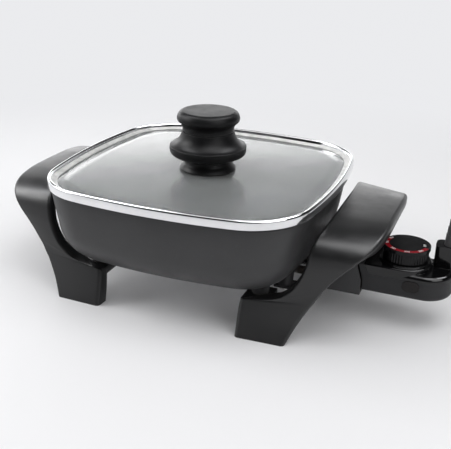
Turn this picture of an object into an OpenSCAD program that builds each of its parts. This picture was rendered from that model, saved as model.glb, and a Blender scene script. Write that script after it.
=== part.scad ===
// Small square electric skillet: a cast pan on two arched leg-and-handle
// mouldings, a framed glass lid with a turned knob, and a heat control with
// its supply cord, which plugs into the side of the pan.
// +Z is up, +Y is the back and the heat control is on +X. The floor is z = 0.

/* [Pan] */
// Middle of the pan to the outside of its mouth, across the flats
pan_half = 102; // [97:1:108]
// Plan radius of the pan's corners at the mouth
pan_corner_r = 38; // [32:1:44]
// Plan radius of the outward bow of each side
side_bow_r = 420; // [320:10:700]
// Thickness of the pan's side wall
pan_wall = 3; // [2:0.25:4]
// Height of the pan's lip above the floor
pan_lip_z = 90.7; // [86:0.1:98]
// Depth of the cooking space
pan_depth = 51; // [46:0.5:54]
// Thickness of the pan's base
pan_base_t = 6.3; // [5:0.1:8]
// Radius between the outside of the pan's wall and its base
pan_fillet_r = 32; // [26:1:36]
// Radius between the inside of the pan's wall and the cooking floor
pan_inner_fillet_r = 27; // [20:1:30]
// Draft of the pan's wall from upright, in degrees
pan_draft = 8.5; // [5:0.5:11]

/* [Heater] */
// Radius of the sheathed heating element
element_r = 3.2; // [2.5:0.1:3.6]
// Radius of the element's ring, at the middle of its sheath
element_ring_r = 42; // [36:1:46]
// Radius of the bends that lead from the ring into the two straight ends
element_bend_r = 12; // [10:1:15]
// Distance from the middle to each straight end and its terminal pin
pin_y = 13; // [12:0.5:14.5]
// Radius of the flat heat spreader
spreader_r = 55; // [52:1:58]
// Thickness of the heat spreader's flange
spreader_t = 3; // [2:0.25:3.25]
// Cover of aluminium around the element and the sensor well
spreader_cover = 2.4; // [1.5:0.1:2.6]
// Radius of the terminal pins
pin_r = 2.3; // [1.8:0.1:2.4]
// Length of each terminal pin outside the element
pin_len = 38; // [30:1:42]
// Length of the ceramic bush on each terminal pin
bush_len = 5; // [3:0.5:8]
// Outside of the pan's mouth in to the ends of the element's sheath
element_set_in = 20; // [18:0.5:22]

/* [Handles] */
// Outside of the pan's mouth to the outer edge of the grip
grip_reach = 48; // [42:1:56]
// Distance between the front faces and the back faces of the feet
foot_span = 160; // [154:1:170]
// Drop from the pan's lip to the top of the grip
grip_drop = 8.2; // [6:0.1:14]
// Thickness of each moulding at its feet
foot_t = 12.8; // [10:0.2:14]
// Thickness of each moulding at its grip
grip_t = 9; // [7:0.5:10]
// How much further the grip reaches at its back end than at its front end
grip_back = 13; // [0:1:14]
// Radius along the moulding's outer edges
edge_r = 3; // [1.5:0.25:3.25]
// Width of the lug that fastens each leg under the pan
lug_w = 20; // [16:0.5:24]
// Thickness of the lug
lug_t = 7; // [5:0.5:9]
// Height of the lug's underside above the floor
lug_z = 20.5; // [19:0.5:22]
// Outside of the pan's mouth in to the lug's screw
lug_set_in = 36; // [33:0.5:39]
// Outer face of the feet in to the lug's screw
lug_from_foot = 25; // [22:0.5:27]
// Thickness of the heat-proof washer between lug and pan
washer_t = 1; // [0.6:0.1:2]
// Radius of the shank of the handle and guard screws
screw_r = 1.9; // [1.5:0.1:2.2]
// Radius of the bosses under the pan
boss_r = 6.5; // [5.5:0.25:7]
// Length of the rib under the inner edge of each grip
rib_len = 56; // [40:1:64]
// Thickness of the rib
rib_t = 4; // [3:0.25:5]
// Height of the rib, with the part that lies in the grip
rib_h = 11; // [10:0.5:13]

/* [Socket guard] */
// Half of the guard's width
guard_half = 22.6; // [22.4:0.1:24]
// Wall of the guard
guard_wall = 1.8; // [1.2:0.1:1.8]
// Height of the guard's underside above the floor
guard_z = 23; // [20:0.5:23.2]
// Height of the guard
guard_h = 30; // [28:0.5:32]
// Outside of the pan's mouth to the guard's mouth
guard_reach = 29.7; // [27:0.1:30]
// Outside of the pan's mouth in to the guard's two screws
guard_screw_set_in = 26; // [24:0.5:27]
// Distance of the guard's screws from the middle
guard_screw_y = 29; // [28:0.5:31]
// Lean of the guard's mouth back towards the pan, in degrees
guard_lean = 17; // [10:1:22]

/* [Lid] */
// How far the lid's rim stands out past the pan's mouth
rim_overhang = 4; // [3.5:0.25:6]
// Plan radius of the rim's corners
rim_corner_r = 49.4; // [46:0.2:52]
// Height of the rim
rim_h = 8.2; // [7.6:0.1:11]
// Width of the rim's rolled edge
rim_w = 3.2; // [2.6:0.1:3.8]
// Thickness of the rim's sheet
rim_sheet = 0.5; // [0.4:0.05:0.8]
// Depth of the skirt that centres the lid inside the pan
skirt_h = 3.5; // [2:0.5:6]
// Clearance between the skirt and the pan's wall
skirt_gap = 0.9; // [0.6:0.1:1.5]
// Thickness of the lid's seal
seal_t = 0.4; // [0.3:0.1:0.8]
// Thickness of the glass
glass_t = 3; // [2.5:0.25:4]
// Width of the glass's flat border
glass_border = 7.5; // [5:0.5:12]
// Rise of the glass's middle above its border
glass_rise = 0.5; // [0.3:0.1:2]
// Width of the seal under the glass
seal_w = 3.4; // [2.5:0.1:4.5]

/* [Knob] */
// Radius of the knob's foot
knob_foot_r = 21.9; // [20:0.1:25]
// Height of the knob's foot
knob_foot_h = 9.6; // [8:0.1:12]
// Largest radius of the knob's flange
knob_flange_r = 29.8; // [28:0.1:34]
// Radius of the knob's neck
knob_neck_r = 19.9; // [18:0.1:21]
// Largest radius of the knob's head
knob_head_r = 24.1; // [23:0.1:27]
// Height of the knob above its foot
knob_h = 36; // [33:0.5:40]
// Radius of the knob's screw
knob_screw_r = 2.5; // [2:0.1:3]
// Radius of the washer under the glass
knob_washer_r = 9; // [7:0.5:12]
// Thickness of the washer
knob_washer_t = 1; // [0.8:0.1:1.5]
// Radius of the knob's threaded insert
insert_r = 4.5; // [4:0.1:6]
// Length of the insert
insert_h = 12; // [10:0.5:16]

/* [Heat control] */
// Half of the control's width
control_half = 20; // [19.6:0.1:20.4]
// Height of the control's underside above the floor
control_z = 25.3; // [25:0.1:25.5]
// Height of the lower housing
lower_h = 15.1; // [15:0.1:16]
// Height of the upper housing's deck, which carries the dial
upper_h = 7.4; // [7:0.1:9]
// Wall of both housings
control_wall = 2.2; // [1.8:0.1:2.4]
// Gap between the guard's mouth and the control's end
control_gap = 0.8; // [0.6:0.1:3]
// Inner end of the control to the middle of its round end
control_run = 42.5; // [41:0.5:46]
// Inner end of the control to the dial's axis
dial_at = 26.5; // [25:0.5:28]
// Radius of the dial
dial_r = 17.2; // [15:0.1:17.6]
// Height of the dial
dial_h = 10.3; // [8:0.1:12]
// Number of ridges around the dial
dial_ridges = 48; // [36:2:60]
// Radius of the dial's shaft
shaft_r = 3; // [2.5:0.1:3.4]
// Radius of the sensing rod
rod_r = 3; // [2.5:0.1:3.1]
// Length of the sensing rod in front of the terminal block
rod_len = 82; // [74:1:84]
// Wall of the female terminals
sleeve_wall = 0.6; // [0.4:0.05:0.65]
// How far the terminal block reaches out into the socket
block_reach = 28.5; // [27:0.5:29]
// How far the terminal block runs into the control
block_hold = 12; // [11:0.5:13]
// Height of the control's round end above the split between the housings
shoulder_h = 4.2; // [3.8:0.1:4.6]
// Lean of the upper housing's inner end, in degrees
end_lean = 30; // [20:1:36]
// Height of the ring that the dial turns on
bezel_h = 1.6; // [1.2:0.1:2.4]
// Height of the cord's housing above the deck
cord_boss_h = 13.5; // [11:0.5:16]
// Width of the cord's housing
cord_boss_w = 16.5; // [15:0.5:18]
// Depth of the cord's housing, front to back
cord_boss_d = 15; // [14.5:0.5:17]
// Distance of the cord's housing behind the middle
cord_boss_y = 9.5; // [8:0.5:10]
// Radius of the indicator lens's round ends
lens_r = 4.2; // [3:0.1:4.4]
// Width of the indicator lens
lens_w = 12.6; // [10:0.2:14]

/* [Cord] */
// Radius of the supply cord
cord_r = 3.25; // [3:0.05:3.5]
// Length of the strain relief
relief_len = 36; // [30:1:40]
// Radius of the strain relief where it leaves the control
relief_r = 5.8; // [5:0.1:6.4]
// Lean of the strain relief from upright, in degrees
relief_tilt = 4; // [0:1:8]
// Width of the plug
plug_w = 24; // [22:0.5:28]
// Height of the plug
plug_h = 15; // [13:0.5:18]
// Length of the plug's body
plug_len = 30; // [26:1:38]
// Length of the plug's blades
blade_len = 17; // [15:0.5:18]

/* [Hidden] */

$fn = 64;
eps = 0.01;             // overlap that keeps a joined face clean
past = 1;               // how far a cut runs past the face that it opens
running = 0.05;         // radial clearance of a pin in its sleeve
loose = 0.3;            // clearance between parts that come apart

// Pan
floor_z = pan_lip_z - pan_depth;
base_z = floor_z - pan_base_t;
corner_taper = 0.45;    // loss of plan corner radius for each mm further in
fillet_steps = 7;       // facets along each of the pan's fillets
boss_embed = 5.5;       // how far a boss runs up into the pan's base
boss_floor = 1.8;       // metal left above a boss's blind hole
tip_gap = 0.5;          // between a screw's tip and the end of its hole
boss_top_z = base_z + boss_embed;
screw_hole_z = boss_top_z - boss_floor;
screw_tip_z = screw_hole_z - tip_gap;

// Handles
grip_z = pan_lip_z - grip_drop;
lug_x = pan_half - lug_set_in;
lug_y = foot_span / 2 - lug_from_foot;
lug_top_z = lug_z + lug_t;
boss_bottom_z = lug_top_z + washer_t;
screw_head_r = screw_r * 2;
screw_head_h = 2.6;
foot_fade = 25;         // height over which the band's section tips into line
rib_out = 5.5;          // pan's mouth to the rib
rib_embed = 4;          // how far the rib runs up into the grip

// Front half of the moulding's top skin, foot to crown of the grip. Each row
// gives, for the inner and then the outer edge, how far it lies from the
// pan's mouth, as a share of grip_reach on the outer edge, then the distance
// from the middle as a share of half of foot_span, and the height as a share
// of the grip's height. The last value blends foot_t (0) into grip_t (1).
strap_rows = [
    [-46.7, -0.195, 1.000, 0.982, 0.000, 0.000, 0.0],
    [-46.4, -0.080, 0.956, 0.922, 0.165, 0.155, 0.2],
    [-45.8,  0.060, 0.914, 0.876, 0.310, 0.315, 0.5],
    [-43.0,  0.130, 0.905, 0.860, 0.340, 0.375, 0.6],
    [-33.0,  0.200, 0.895, 0.847, 0.352, 0.445, 0.7],
    [-20.0,  0.290, 0.885, 0.836, 0.385, 0.520, 0.8],
    [-10.0,  0.390, 0.877, 0.826, 0.475, 0.600, 0.9],
    [ -4.0,  0.510, 0.868, 0.814, 0.595, 0.680, 1.0],
    [ -0.6,  0.650, 0.853, 0.795, 0.725, 0.760, 1.0],
    [  1.0,  0.780, 0.822, 0.752, 0.850, 0.835, 1.0],
    [  2.5,  0.890, 0.745, 0.665, 0.940, 0.905, 1.0],
    [  4.0,  0.965, 0.590, 0.520, 0.983, 0.960, 1.0],
    [  4.8,  0.995, 0.360, 0.320, 0.995, 0.990, 1.0],
    [  5.0,  1.000, 0.120, 0.110, 1.000, 1.000, 1.0]
];

// Socket guard
guard_mouth_x = pan_half + guard_reach;
guard_lap = 4;          // how far the tunnel's walls reach in under the lip
guard_floor_len = 14;   // how far the guard's floor runs on past its walls
guard_ear_lap = 6;      // how far the screws' ears run under the tunnel
guard_lean_drop = 6;    // height below the split at which the lean starts
guard_tunnel_x = pan_half - guard_lap;
guard_back_x = guard_tunnel_x - guard_floor_len;
guard_screw_x = pan_half - guard_screw_set_in;

// Lid
rim_half = pan_half + rim_overhang;
rim_edge = 0.6;         // outer lower edge of the rim, broken this much
rim_land = 1;           // sheet between the skirt and the seal's seat
shelf_z = pan_lip_z + loose;
seal_z = shelf_z + rim_sheet;
glass_z = seal_z + seal_t;
glass_top_z = glass_z + glass_t;
crown_z = glass_top_z + glass_rise;
rim_top_z = shelf_z + rim_h;
glass_gap = 0.6;        // between the glass's edge and the rim's inner wall
glass_edge = rim_w + glass_gap;
glass_bend_w = 4;       // width of the bend between border and middle
seal_drop = 0.2;        // seal's edge below the top of the glass

// Knob
knob_z = crown_z + seal_t;
knob_body_z = knob_z + knob_foot_h;
foot_neck = 3.7;        // how much narrower the foot is at its top
seal_set_in = 2.5;      // edge of the foot to the edge of its seal
washer_z = glass_z + glass_rise - knob_washer_t;
knob_screw_head_r = knob_screw_r * 1.9;
knob_screw_head_h = 3;
insert_end = 1;         // closed end of the insert

// Heat control
control_x = guard_mouth_x + control_gap;
control_end_x = control_x + control_run;
dial_x = control_x + dial_at;
block_x = control_x - block_reach;
block_end_x = control_x + block_hold;
split_z = control_z + lower_h;
deck_z = split_z + upper_h;
shoulder_z = split_z + shoulder_h;
lean_z = split_z - guard_lean_drop; // where the guard's mouth starts to lean
control_floor_z = control_z + control_wall;
lower_round = 4;
deck_round = 1.2;
shoulder_round = 3.5;
post_r = 3;             // radius of the posts for the housing screws
post_gap = 0.4;         // between those posts and the wall
post_x = block_end_x + 9;           // two posts past the terminal block
back_post_x = control_end_x + 12.5; // and one in the round end
back_post_y = -6;
housing_screw_r = 1.2;
housing_screw_head_r = 2.4;
housing_screw_head_h = 1.2;
screw_set_in = 0.2;     // how far the screw heads lie inside the underside
screw_slack = 0.3;      // clearance of the lower housing round the screws
dial_gap = 0.5;         // between the dial and the ring under it
dial_z = deck_z + bezel_h + dial_gap;
dial_top_z = dial_z + dial_h;
dial_lip_w = 0.8;       // how far the dial's lip stands out past its ridges
dial_roof = 3;          // top of the shaft to the top of the dial
plate_t = 0.6;          // thickness of the dial's printed plate
shaft_top_z = dial_top_z - dial_roof;
bezel_w = 1.5;          // how far the ring stands out past the dial
lens_past_dial = 8.5;
lens_x = dial_x + lens_past_dial;
lens_z = split_z - loose - lens_r;
lens_proud = 0.5;
lens_inside = 1;        // how far the lens stands into the control

// Terminals and sensing rod
pin_z = base_z - element_r - 0.2;
sleeve_r = pin_r + running + sleeve_wall;
sleeve_step = 1;        // mouth of the female terminals inside the block's face
sleeve_out = 0.5;       // how far they stand out at the block's back
sleeve_past_pin = 3;    // depth of their bore beyond the pins' tips
block_half = pin_y + sleeve_r + 1;
block_bottom_z = pin_z - sleeve_r - 0.7;
block_top_z = pin_z + sleeve_r + 2.5;
rod_tip_x = block_x - rod_len;
rod_collar = 3;         // length of the collar in front of the block
rod_collar_w = 1.5;     // how far the collar stands out from the rod

// Heater, which lies level with the terminals
element_z = pin_z;
element_end_x = pan_half - element_set_in;
element_gap = 0.05;
lobe_set_in = 6;        // ends of the sheath to the ends of the casting's lobes
well_cap = 4;           // free length and metal beyond the sensing rod's tip
lobe_end_x = element_end_x - lobe_set_in;
pin_tip_x = element_end_x + pin_len;
well_r = rod_r + loose;
well_mouth_x = element_end_x - 2;
well_tip_x = rod_tip_x - well_cap;
well_end_x = well_tip_x - well_cap;
lobe_sides = 12;
sheath_sides = 16;
bend_y = pin_y + element_bend_r;
bend_x = sqrt(pow(element_ring_r + element_bend_r, 2) - bend_y * bend_y);
ring_open = atan2(bend_y, bend_x);

// Thermostat
frame_back = 4.2;       // terminal block to the thermostat's frame
frame_past_dial = 14;
frame_x = block_end_x + frame_back;
frame_len = dial_x + frame_past_dial - frame_x;
frame_half = 8;
frame_t = 1;
frame_floor_z = control_floor_z + frame_t;
tower_z = deck_z - control_wall - 1.2;
bushing_r = shaft_r + 1.6;
bushing_flange = 1;
bushing_out = 0.2;      // how far the bushing stands out of the ring
neck_gap = 0.2;         // between the sensing rod's neck and the frame
shaft_collar = 1.2;     // how far the shaft's collar stands out
shaft_collar_h = 2 - loose;
spring_x = frame_x + frame_t;
blade_short = 6;        // frame's length to the blade's
arm_short = 8;          // and to the contact arm's
contact_set_in = 9;     // far end of the frame to the contacts
blade_z = frame_floor_z + 4;
blade_w = 6;
blade_t = 0.8;
blade_foot = 3;
arm_z = blade_z + 3;
arm_y = 3.8;
arm_w = 3.2;
arm_t = 0.5;
arm_foot = 2.4;
contact_r = 1.5;
contact_h = 1;
contact_open = 0.2;     // distance between the open contacts

// Cord's housing and strain relief
cord_boss_set = 12;     // middle of the round end to the cord's housing
cord_boss_x = control_end_x + cord_boss_set;
cord_boss_z = deck_z + cord_boss_h;
cord_boss_round = 4.5;
cord_boss_wall = 2;
relief_set = 2.6;       // middle of the cord's housing to the relief's root
relief_sunk = 6;        // depth of the relief's root in the cord's housing
relief_x = cord_boss_x + relief_set;
relief_z = cord_boss_z - relief_sunk;
relief_foot = 7;        // how far the relief's root lies along its axis
relief_root = 3.6;      // where the relief's root starts along its axis
relief_flange = 3.5;
relief_bore = 0.1;      // radial clearance of the cord in the relief

// The frame's origin is under the middle of the whole object
reach_left = max([for (ring = strap_rings(), p = ring) p[0]]);
reach_right = max(control_end_x + control_half, cord_boss_x + cord_boss_w / 2);
middle_x = (reach_right - reach_left) / 2;

// Cord: from the strain relief over to the floor and along it to the coil,
// then from the coil to the plug. Points are chosen by hand.
coil_r = 36;
coil_x = 274;
coil_y = 96;
tie_t = 0.7;
tie_w = 8;
tie_slack = 0.5;        // clearance of the tie round the coil
coil_low_z = cord_r + tie_t;
coil_high_z = 17;
coil_top_z = coil_high_z + cord_r;
plug_x = 260;
plug_y = 149;
plug_hole_z = cord_r + 1.2;
plug_nose = 8;          // length over which the plug narrows to the cord
plug_nose_w = 10;
blade_wide = 6.3;
blade_thick = 1.5;
blade_gap = 12.7;       // between the middles of the two blades
relief_exit = 12;       // where the cord's jacket starts in the relief
lead_route = [
    relief_point(relief_exit), relief_point(30), [192.9, 9.5, 104], [194.6, 9.6, 115],
    [198, 9.9, 127], [204.5, 10.5, 137.5], [214.5, 11.3, 145], [226.5, 12.2, 148],
    [238.5, 13.2, 145.5], [248.5, 14.2, 138], [254.8, 15.2, 127], [258, 16.3, 114],
    [261, 17.5, 100], [264.5, 19, 85], [268.5, 20.7, 70], [273.5, 23, 55],
    [279.5, 26, 41], [287, 30, 28], [295.5, 36, 17], [303, 44.5, 9.5], [308.2, 56, 5.2],
    [310.2, 70, coil_low_z], [310.2, 84, coil_low_z], [coil_x + coil_r, coil_y, coil_low_z]
];
tail_route = [
    [coil_x + coil_r, coil_y, coil_high_z], [309.6, 108, 16], [306.5, 121, 12.5],
    [300, 133, 8], [290.5, 142, 5], [278, 147.5, cord_r + 0.8],
    [268, plug_y, plug_hole_z], [plug_x, plug_y, plug_hole_z]
];

// Lead from the cord down to one female terminal, with s = -1 or 1 for its
// side. Points are chosen by hand about the pieces that it passes.
wire_r = 1.1;
wire_y = frame_half + 1.6;
function wire_route(s) =
    let (top = relief_point(relief_exit - 1))
    [
        top + [0, s * 1.5, 0], top + [-0.6, s * 1.5, -8], top + [-1.6, s * 1.9, -13],
        [control_end_x + 10.5, 8 + s * 2, split_z + 2],
        [control_end_x + 8, 5 + s * 4.5, split_z - 0.8],
        [control_end_x + 6.4, 1.8 + s * 7.8, split_z - 2.6],
        [control_end_x + 3.5, s * wire_y, split_z - 3.2],
        [control_end_x - 14, s * wire_y, split_z - 4], [block_end_x + 7.5, s * wire_y, pin_z + 3],
        [block_end_x + 3.5, s * pin_y, pin_z], [block_end_x + 0.6, s * pin_y, pin_z]
    ];

// ---------------------------------------------------------------- outlines

function turned(p, angle) =
    [p[0] * cos(angle) - p[1] * sin(angle), p[0] * sin(angle) + p[1] * cos(angle)];

// Middle of a corner arc that meets two bowed sides smoothly
function corner_at(half, corner_r, bow_r) =
    let (b = bow_r - half, d = bow_r - corner_r)
    (sqrt(2 * d * d - b * b) - b) / 2;

// A square with bowed sides and round corners, anticlockwise from above
function bowed_square(half, corner_r, bow_r, steps = 8) =
    let (
        c = corner_at(half, corner_r, bow_r),
        swing = atan2(c, c + bow_r - half),
        side = [for (i = [0:steps - 1])
            let (a = -swing + 2 * swing * i / steps)
            [half - bow_r + bow_r * cos(a), bow_r * sin(a)]],
        corner = [for (i = [0:steps - 1])
            let (a = swing + (90 - 2 * swing) * i / steps)
            [c + corner_r * cos(a), c + corner_r * sin(a)]]
    )
    [for (q = [0:3]) each [for (p = concat(side, corner)) turned(p, 90 * q)]];

function at_height(outline, z) = [for (p = outline) [p[0], p[1], z]];

function pan_ring(inset, z) = at_height(
    bowed_square(pan_half - inset, pan_corner_r - corner_taper * inset, side_bow_r - inset), z);

function rim_ring(inset, z) = at_height(
    bowed_square(rim_half - inset, rim_corner_r - inset, side_bow_r + rim_overhang - inset), z);

// Wall and fillet of the pan as [inset, z], from the base up
function wall_profile(top_inset, bottom_z, fillet_r, steps) =
    let (
        centre_z = bottom_z + fillet_r,
        centre_inset = top_inset + (pan_lip_z - centre_z) * tan(pan_draft)
            + fillet_r / cos(pan_draft)
    )
    concat(
        [for (i = [0:steps])
            let (a = 90 - (90 - pan_draft) * i / steps)
            [centre_inset - fillet_r * cos(a), centre_z - fillet_r * sin(a)]],
        [[top_inset, pan_lip_z]]
    );

function reversed(list) = [for (i = [len(list) - 1:-1:0]) list[i]];

// Solid through a stack of rings with equally many points. A closed stack
// joins its last ring to its first, any other is capped at both ends.
module skin(rings, closed = false) {
    n = len(rings[0]);
    m = len(rings);
    last = closed ? m - 1 : m - 2;
    sides = [for (k = [0:last], i = [0:n - 1])
        let (j = (i + 1) % n, up = (k + 1) % m)
        each [[k * n + i, up * n + i, up * n + j], [k * n + i, up * n + j, k * n + j]]];
    bottom = [for (i = [0:n - 1]) i];
    top = [for (i = [n - 1:-1:0]) (m - 1) * n + i];
    polyhedron(
        points = [for (r = rings) each r],
        faces = closed ? sides : concat([bottom], sides, [top]),
        convexity = 6
    );
}

function unit(v) = v / norm(v);

// Smooth curve through points of any dimension, with round ends held
function curve_point(a, b, c, d, t) =
    0.5 * ((2 * b) + (c - a) * t + (2 * a - 5 * b + 4 * c - d) * t * t
        + (3 * b - a - 3 * c + d) * t * t * t);

function smooth(points, steps) =
    let (n = len(points))
    concat(
        [for (k = [0:n - 2], i = [0:steps - 1])
            curve_point(points[max(k - 1, 0)], points[k], points[k + 1],
                points[min(k + 2, n - 1)], i / steps)],
        [points[n - 1]]
    );

// Direction of travel at each point of a route
function headings(route) =
    let (n = len(route))
    [for (k = [0:n - 1]) unit(route[min(k + 1, n - 1)] - route[max(k - 1, 0)])];

function squared(v, t) = unit(v - (v * t) * t);

// Round tube along a route, with its sides carried along without a twist
module tube(route, r, sides = 8) {
    n = len(route);
    t = headings(route);
    start = squared(abs(t[0][2]) > 0.7 ? [0, 1, 0] : [0, 0, 1], t[0]);
    up = [for (k = 0, v = start; k < n; k = k + 1, v = k < n ? squared(v, t[k]) : v) v];
    skin([for (k = [0:n - 1])
        let (across = cross(up[k], t[k]))
        [for (i = [0:sides - 1])
            route[k] + r * (cos(360 * i / sides) * across + sin(360 * i / sides) * up[k])]]);
}

// Bar from one point along +X
module rod_x(x0, x1, y, z, r) {
    translate([x0, y, z])
        rotate([0, 90, 0])
            cylinder(r = r, h = x1 - x0);
}

module post(x, y, z0, z1, r) {
    translate([x, y, z0])
        cylinder(r = r, h = z1 - z0);
}

module both_sides() {
    children();
    mirror([0, 1, 0]) children();
}

module four_corners() {
    both_sides() {
        children();
        mirror([1, 0, 0]) children();
    }
}

// Everything is drawn about the pan's middle, then set on the shared origin
module seated() {
    translate([-middle_x, 0, 0]) children();
}

// --------------------------------------------------------------------- pan

module pan() {
    outer = wall_profile(0, base_z, pan_fillet_r, fillet_steps);
    inner = wall_profile(pan_wall / cos(pan_draft), floor_z, pan_inner_fillet_r, fillet_steps);
    color("dimgray") seated()
        difference() {
            union() {
                skin([for (p = concat(outer, reversed(inner))) pan_ring(p[0], p[1])]);
                four_corners() post(lug_x, lug_y, boss_bottom_z, boss_top_z, boss_r);
                both_sides() post(guard_screw_x, guard_screw_y, guard_z + guard_wall,
                    boss_top_z, boss_r);
            }
            four_corners() post(lug_x, lug_y, boss_bottom_z - past, screw_hole_z,
                screw_r + running);
            both_sides() post(guard_screw_x, guard_screw_y, guard_z, screw_hole_z,
                screw_r + running);
        }
}

// ------------------------------------------------------------------ heater

// Half of the element's path: straight end, bend and half of the ring, which
// stops half a step short of the middle so that the two halves join evenly
function half_element(side, end_x, bend_steps = 5, ring_steps = 11) = concat(
    [[end_x, side * pin_y, element_z]],
    [for (i = [0:bend_steps])
        let (a = 270 - (90 - ring_open) * i / bend_steps)
        [bend_x + element_bend_r * cos(a), side * (bend_y + element_bend_r * sin(a)), element_z]],
    [for (i = [1:ring_steps])
        let (a = ring_open + (180 - ring_open) * i / (ring_steps + 0.5))
        [element_ring_r * cos(a), side * element_ring_r * sin(a), element_z]]
);

function element_route(end_x) = concat(half_element(-1, end_x), reversed(half_element(1, end_x)));

module heat_spreader() {
    color("silver") seated()
        difference() {
            union() {
                post(0, 0, base_z - spreader_t, base_z, spreader_r);
                difference() {
                    union() {
                        tube(element_route(lobe_end_x), element_r + spreader_cover,
                            lobe_sides);
                        rod_x(well_end_x, well_mouth_x, 0, element_z, well_r + spreader_cover);
                    }
                    translate([-pan_half, -pan_half, base_z])
                        cube([2 * pan_half, 2 * pan_half, pan_depth]);
                }
            }
            tube(element_route(element_end_x + past), element_r + element_gap, sheath_sides);
            rod_x(well_tip_x, well_mouth_x + past, 0, element_z, well_r);
        }
}

module heating_element() {
    color("darkgray") seated() tube(element_route(element_end_x), element_r, sheath_sides);
}

module terminal_pins() {
    color("gainsboro") seated()
        both_sides() {
            rod_x(element_end_x, pin_tip_x - pin_r, pin_y, pin_z, pin_r);
            translate([pin_tip_x - pin_r, pin_y, pin_z]) sphere(r = pin_r);
        }
}

module terminal_bushes() {
    color("white") seated()
        both_sides()
            difference() {
                rod_x(element_end_x, element_end_x + bush_len, pin_y, pin_z, element_r);
                rod_x(element_end_x - past, element_end_x + bush_len + past, pin_y, pin_z,
                    pin_r + running);
            }
}

// ----------------------------------------------------------------- handles

function strap_station(row, side) =
    let (back = side > 0 ? grip_back : 0)
    [
        pan_half + row[0],
        side * row[2] * foot_span / 2 + back * pow(row[4], 2),
        row[4] * grip_z,
        pan_half + row[1] * grip_reach,
        side * row[3] * foot_span / 2 + back * pow(row[5], 2),
        row[5] * grip_z,
        foot_t + (grip_t - foot_t) * row[6]
    ];

function strap_stations() = smooth(concat(
    [for (r = strap_rows) strap_station(r, -1)],
    [for (r = reversed(strap_rows)) strap_station(r, 1)]), 2);

// Rounded band in the plane of across and out, hung under the top skin
function strap_section(inner, outer, out, t) =
    let (
        w = norm(outer - inner),
        across = (outer - inner) / w,
        r = min(edge_r, t / 2 - 0.2),
        spots = [[r, -r, 180], [w - r, -r, 90], [w - r, r - t, 0], [r, r - t, -90]]
    )
    [for (s = spots, i = [0:3])
        let (a = s[2] - 30 * i)
        inner + (s[0] + r * cos(a)) * across + (s[1] + r * sin(a)) * out];

function strap_rings() =
    let (
        s = strap_stations(),
        n = len(s),
        inner = [for (v = s) [v[0], v[1], v[2]]],
        outer = [for (v = s) [v[3], v[4], v[5]]],
        mid = (inner + outer) / 2
    )
    [for (k = [0:n - 1])
        let (
            along = mid[min(k + 1, n - 1)] - mid[max(k - 1, 0)],
            skew = cross(outer[k] - inner[k], along),
            level = min(1, mid[k][2] / foot_fade)
        )
        strap_section(inner[k], outer[k], unit([skew[0], skew[1], skew[2] * level]), s[k][6])];

module handle() {
    lug_back = lug_y - lug_w / 2;
    leg_y = foot_span / 2 - foot_t;
    difference() {
        union() {
            skin(strap_rings());
            both_sides()
                translate([lug_x - lug_w / 2, lug_back, lug_z])
                    cube([lug_w, leg_y - lug_back, lug_t]);
            // Rib under the inner edge of the grip
            translate([pan_half + rib_out, -rib_len / 2, grip_z - grip_t + rib_embed - rib_h])
                cube([rib_t, rib_len, rib_h]);
        }
        both_sides() post(lug_x, lug_y, 0, lug_top_z + past, screw_r + loose);
    }
}

module handle_left() {
    color("dimgray") seated() mirror([1, 0, 0]) handle();
}

module handle_right() {
    color("dimgray") seated() handle();
}

module screw_up(x, y, seat_z, tip_z) {
    post(x, y, seat_z - screw_head_h, seat_z, screw_head_r);
    post(x, y, seat_z - eps, tip_z, screw_r);
}

module handle_screws() {
    color("silver") seated()
        four_corners()
            screw_up(lug_x, lug_y, lug_z, screw_tip_z);
}

module heat_washers() {
    color("white") seated()
        four_corners()
            difference() {
                post(lug_x, lug_y, lug_top_z, boss_bottom_z, boss_r);
                post(lug_x, lug_y, lug_top_z - past, boss_bottom_z + past, screw_r + loose);
            }
}

// ------------------------------------------------------------ socket guard

module socket_guard() {
    top_z = guard_z + guard_h;
    inner_half = guard_half - guard_wall;
    floor_top = guard_z + guard_wall;
    color("dimgray") seated()
        difference() {
            union() {
                translate([guard_tunnel_x, -guard_half, guard_z])
                    cube([guard_mouth_x - guard_tunnel_x, 2 * guard_half, guard_h]);
                translate([guard_back_x, -guard_half, guard_z])
                    cube([guard_tunnel_x - guard_back_x + past, 2 * guard_half, guard_wall]);
                both_sides()
                    translate([guard_screw_x - boss_r, guard_screw_y - boss_r, guard_z])
                        cube([guard_tunnel_x + guard_ear_lap - guard_screw_x + boss_r, 2 * boss_r,
                            guard_wall]);
            }
            translate([guard_tunnel_x - past, -inner_half, floor_top])
                cube([guard_mouth_x, 2 * inner_half, guard_h - 2 * guard_wall]);
            // The mouth leans back towards the pan from a little below the split
            translate([guard_mouth_x, -guard_half - past, lean_z])
                rotate([0, -guard_lean, 0])
                    cube([guard_reach, 2 * (guard_half + past), guard_h]);
            both_sides()
                post(guard_screw_x, guard_screw_y, guard_z - past, top_z, screw_r + loose);
        }
}

module guard_screws() {
    color("silver") seated()
        both_sides()
            screw_up(guard_screw_x, guard_screw_y, guard_z, screw_tip_z);
}

// --------------------------------------------------------------------- lid

module lid_rim() {
    skirt_in = pan_wall / cos(pan_draft) + skirt_gap + skirt_h * tan(pan_draft);
    r = rim_w / 2;
    roll = [for (a = [0:30:180]) rim_ring(r - r * cos(a), rim_top_z - r + r * sin(a))];
    color("gainsboro") seated()
        skin(concat(
            [rim_ring(0, shelf_z + rim_edge)],
            roll,
            [
                rim_ring(rim_w, seal_z),
                pan_ring(skirt_in + rim_sheet + rim_land, seal_z),
                pan_ring(skirt_in + rim_sheet, shelf_z - skirt_h),
                pan_ring(skirt_in, shelf_z - skirt_h),
                pan_ring(skirt_in, shelf_z),
                rim_ring(rim_edge, shelf_z)
            ]), closed = true);
}

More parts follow.
